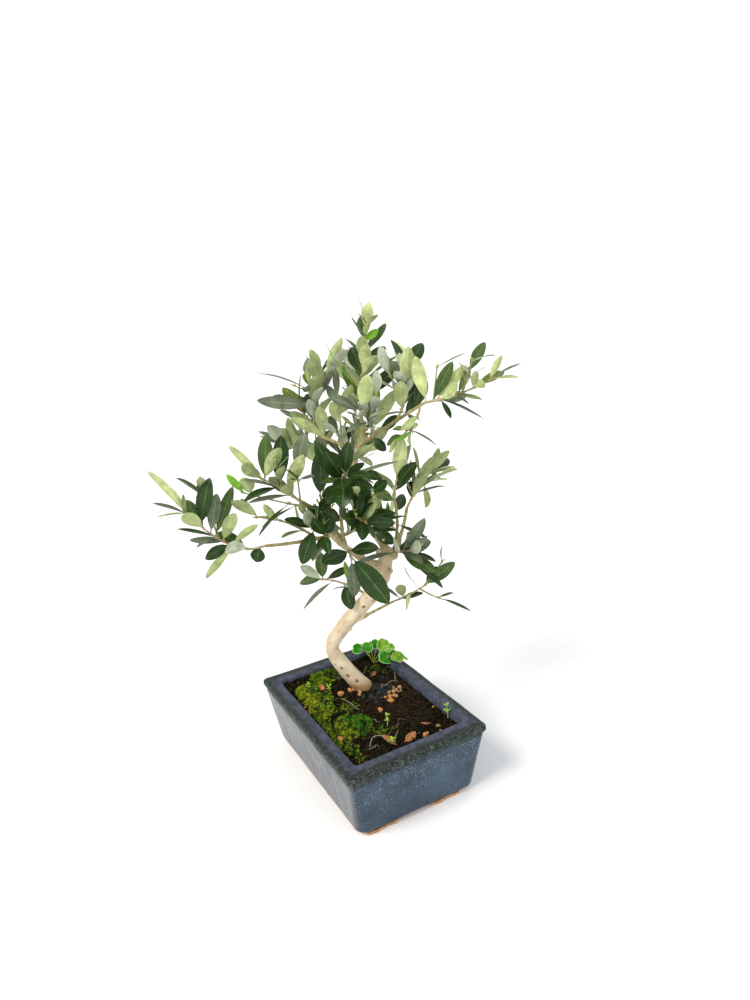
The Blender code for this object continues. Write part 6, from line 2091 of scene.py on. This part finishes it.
def paint_rim():
    """Dark mottled green-grey outside, with worn pale flecks at the edge, and violet-blue inside."""
    paint = Paint("glaze_rim", (0.04, 0.05, 0.06), 0.6, Specular_IOR_Level=0.12)
    over = []
    for axis, half in zip("XY", INNER_HALF):
        over.append(paint.math("SUBTRACT", paint.math("ABSOLUTE", paint.along(axis), 0.0), MM * half))
    far = paint.math("MAXIMUM", *over)
    wavy = paint.math("ADD", far, paint.math("MULTIPLY", paint.noise(7.0, 3.0), MM * 7.0))
    blue = paint.between(wavy, MM * 12.0, MM * 8.0)
    worn = paint.spots(3.2, 0.46, 0.68, rough=0.65)
    green = paint.mix(worn, (0.014, 0.021, 0.018), (0.046, 0.058, 0.048))
    clouds = paint.spots(6.0, 0.36, 0.66, detail=4.0, rough=0.6)
    violet = paint.mix(clouds, (0.034, 0.042, 0.060), (0.070, 0.080, 0.120))
    base = paint.mix(blue, green, violet)
    fine = paint.spots(0.9, 0.56, 0.66, detail=2.0, rough=0.7)
    edge = paint.math("ADD", paint.math("MULTIPLY", paint.between(far, MM * 8.0, MM * 11.0), 0.45), 0.15)
    paint.colour(paint.laid(base, fine, edge, (0.26, 0.30, 0.28)))
    paint.roughness(worn, 0.45, 0.75)
    paint.bumps(paint.noise(1.2, 3.0), 0.16)
    return paint


def paint_clay():
    paint = Paint("bare_clay", (0.42, 0.21, 0.08), 0.9)
    shade = paint.spots(5.0, 0.35, 0.65, detail=4.0, rough=0.6)
    base = paint.mix(shade, (0.26, 0.12, 0.045), (0.52, 0.28, 0.12))
    paint.colour(paint.mix(paint.spots(0.7, 0.56, 0.70, detail=2.0), base, (0.62, 0.42, 0.24)))
    paint.bumps(paint.noise(0.8, 3.0), 0.2)
    return paint


def paint_soil():
    paint = Paint("soil_bed", (0.03, 0.02, 0.012), 0.95, Specular_IOR_Level=0.0)
    shade = paint.spots(7.0, 0.38, 0.64, detail=4.0, rough=0.65)
    base = paint.mix(shade, (0.003, 0.0036, 0.0016), (0.011, 0.009, 0.004))
    paint.colour(paint.mix(paint.spots(1.3, 0.54, 0.70, rough=0.7), base, (0.022, 0.016, 0.007)))
    paint.bumps(paint.noise(0.9, 4.0, 0.7), 0.7)
    return paint


# Plain materials by kind of piece, in the order of its slots: name, two colours, how rough, and the size of
# their speckles where it isn't the usual one
PLAIN_PAINTS = {
    "crumbs": (
        ("crumb_black", (0.004, 0.0045, 0.002), (0.010, 0.009, 0.005), 0.95),
        ("crumb_brown", (0.009, 0.008, 0.0035), (0.021, 0.016, 0.007), 0.95),
        ("crumb_reddish", (0.018, 0.011, 0.005), (0.040, 0.023, 0.009), 0.95),
        ("stone_wet", (0.006, 0.010, 0.009), (0.020, 0.028, 0.026), 0.45),
        ("pellet_ochre", (0.36, 0.14, 0.040), (0.62, 0.29, 0.11), 0.85),
        ("pellet_beige", (0.26, 0.14, 0.055), (0.50, 0.32, 0.15), 0.85),
    ),
    "fibres": (
        ("fibre_brown", (0.015, 0.011, 0.005), (0.040, 0.029, 0.014), 0.9),
        ("fibre_reddish", (0.034, 0.018, 0.008), (0.075, 0.042, 0.019), 0.9),
        ("fibre_pale", (0.42, 0.38, 0.28), (0.62, 0.58, 0.46), 0.7),
    ),
    "moss": (
        ("moss_yellow", (0.23, 0.29, 0.008), (0.44, 0.47, 0.025), 0.8, 3.0),
        ("moss_green", (0.095, 0.18, 0.006), (0.22, 0.33, 0.014), 0.8, 3.0),
        ("moss_deep", (0.018, 0.12, 0.005), (0.055, 0.27, 0.012), 0.8, 3.0),
        ("moss_bed", (0.008, 0.012, 0.003), (0.024, 0.030, 0.006), 0.95, 3.0),
    ),
    "sprig": (
        ("sprig_green", (0.018, 0.16, 0.006), (0.055, 0.29, 0.014), 0.45, 4.0),
        ("sprig_light", (0.08, 0.28, 0.012), (0.26, 0.42, 0.04), 0.45, 4.0),
        ("sprig_rim", (0.30, 0.50, 0.16), (0.45, 0.62, 0.28), 0.5, 2.0),
        ("sprig_stalk", (0.16, 0.24, 0.04), (0.26, 0.30, 0.08), 0.5, 2.0),
    ),
    "litter": (
        ("seedling_green", (0.13, 0.34, 0.015), (0.24, 0.48, 0.04), 0.5),
        ("seedling_yellow", (0.34, 0.44, 0.04), (0.50, 0.56, 0.10), 0.5),
        ("dead_leaf", (0.22, 0.080, 0.026), (0.42, 0.18, 0.065), 0.7),
        ("dead_leaf_under", (0.24, 0.12, 0.05), (0.40, 0.22, 0.10), 0.8),
        ("dead_leaf_rib", (0.30, 0.17, 0.08), (0.42, 0.26, 0.14), 0.7),
    ),
    "scar": (
        ("bark_scar", (0.15, 0.105, 0.060), (0.30, 0.215, 0.125), 0.85),
    ),
    "stems": (
        ("stem", (0.30, 0.25, 0.14), (0.42, 0.36, 0.22), 0.7, 2.0),
    ),
    "twigs": (
        ("twig", (0.19, 0.22, 0.085), (0.31, 0.32, 0.15), 0.6, 2.0),
    ),
    "buds": (
        ("bud_orange", (0.50, 0.25, 0.05), (0.62, 0.38, 0.10), 0.6),
        ("bud_green", (0.22, 0.34, 0.07), (0.34, 0.46, 0.12), 0.5),
    ),
}
SPECKLE = 1.2
SPECKLE_DEEP = 0.15
MATT_SHEEN = 0.12


def speckled(name, first, second, roughness, size=SPECKLE):
    """A plain earthy material: two near colours mixed by fine noise, with a fine relief."""
    middle = tuple(0.5 * (a + b) for a, b in zip(first, second))
    paint = Paint(name, middle, roughness, Specular_IOR_Level=MATT_SHEEN)
    paint.colour(paint.mix(paint.spots(size, 0.38, 0.62, rough=0.6), first, second))
    paint.bumps(paint.noise(0.6 * size, 3.0), SPECKLE_DEEP)
    return paint


def plain_paints(kind):
    """The materials of one kind of piece, in the order of its slots."""
    return [speckled(*row) for row in PLAIN_PAINTS[kind]]


def paint_bark():
    """Pale smooth bark: beige with warmer and greyer clouds, fine pores, and a brown foot."""
    paint = Paint("bark", (0.50, 0.40, 0.27), 0.72)
    clouds = paint.spots(9.0, 0.36, 0.66, detail=4.0, rough=0.6)
    base = paint.mix(clouds, (0.74, 0.63, 0.45), (0.58, 0.465, 0.31))
    warmed = paint.laid(base, paint.spots(4.0, 0.56, 0.70, rough=0.6), 0.7, (0.50, 0.32, 0.16))
    pores = paint.spots(0.9, 0.60, 0.72, detail=2.0, rough=0.6, stretch=(1.0, 1.0, 0.5))
    pored = paint.laid(warmed, pores, 0.6, (0.30, 0.22, 0.13))
    stains = paint.spots(24.0, 0.44, 0.62, rough=0.5, stretch=(1.0, 1.0, 0.35))
    shaded = paint.laid(pored, stains, 0.55, (0.40, 0.30, 0.17))
    olive = paint.mix(clouds, (0.40, 0.33, 0.17), (0.24, 0.18, 0.085))
    topped = paint.laid(shaded, paint.height(SOIL_TOP + 84.0, SOIL_TOP + 122.0), 0.7, olive)
    foot = paint.height(SOIL_TOP + 10.0, SOIL_TOP + 3.5)
    paint.colour(paint.mix(foot, topped, (0.25, 0.135, 0.048)))
    paint.bumps(paint.noise(0.8, 4.0, 0.65, (1.0, 1.0, 0.4)), 0.16)
    return paint


def paint_young_bark():
    """The thin boughs: smoother, olive-brown, with pale flecks."""
    paint = Paint("bark_young", (0.34, 0.28, 0.15), 0.65, Specular_IOR_Level=0.2)
    clouds = paint.spots(6.0, 0.36, 0.66, detail=4.0, rough=0.6)
    base = paint.mix(clouds, (0.36, 0.32, 0.15), (0.21, 0.185, 0.070))
    flecks = paint.spots(0.9, 0.58, 0.70, detail=2.0)
    paint.colour(paint.laid(base, flecks, 0.5, (0.55, 0.48, 0.32)))
    paint.bumps(paint.noise(0.8, 3.0), 0.12)
    return paint


def paint_leaf(age):
    """Above, below, the midrib above and the midrib below."""
    above, below, rib, gloss = LEAF_LOOKS[age]
    paints = []
    rib_below = tuple(1.2 * value for value in below)
    parts = (("above", above, gloss), ("below", below, 0.62), ("rib", rib, 0.5),
             ("rib_below", rib_below, 0.6))
    for part, colour, rough in parts:
        paint = Paint(f"leaf_{age}_{part}", colour, rough, Specular_IOR_Level=LEAF_SHEEN)
        darker, lighter = (tuple(share * value for value in colour) for share in LEAF_SHADES)
        mottled = paint.mix(paint.spots(7.0, 0.35, 0.65, rough=0.6), darker, lighter)
        paler = tuple(0.6 * value + 0.4 * tone for value, tone in zip(lighter, below))
        veins = paint.spots(0.9, 0.55, 0.70, detail=2.0, rough=0.6)
        paint.colour(paint.laid(mottled, veins, 0.45, paler))
        paint.bumps(paint.noise(0.9, 2.0), 0.05)
        paints.append(paint)
    return paints


def make_floor():
    """A broad disc that the feet stand on."""
    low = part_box("foot_front_left")[0][2] / MM
    ring = [(FLOOR_RADIUS * math.cos(turn), FLOOR_RADIUS * math.sin(turn), low)
            for turn in turns_round(FLOOR_SIDES)]
    skin = Skin()
    skin.add(ring, [tuple(range(FLOOR_SIDES))])
    floor = skin.build("floor", [Paint("floor", FLOOR_COLOUR, 0.9)])


def main():
    set_camera()
    set_light()
    make_floor()
    make_pot()
    make_feet()
    make_soil()
    make_crumbs()
    make_fibres()
    make_moss()
    make_sprig()
    make_litter()
    limbs = grow_limbs()
    make_bark(limbs)
    growth = grow_crown(limbs)
    for name, mass in MASSES.items():
        grow_finer(growth, name, mass)
    make_leaves(growth)
    make_twigs(growth, limbs)


main()
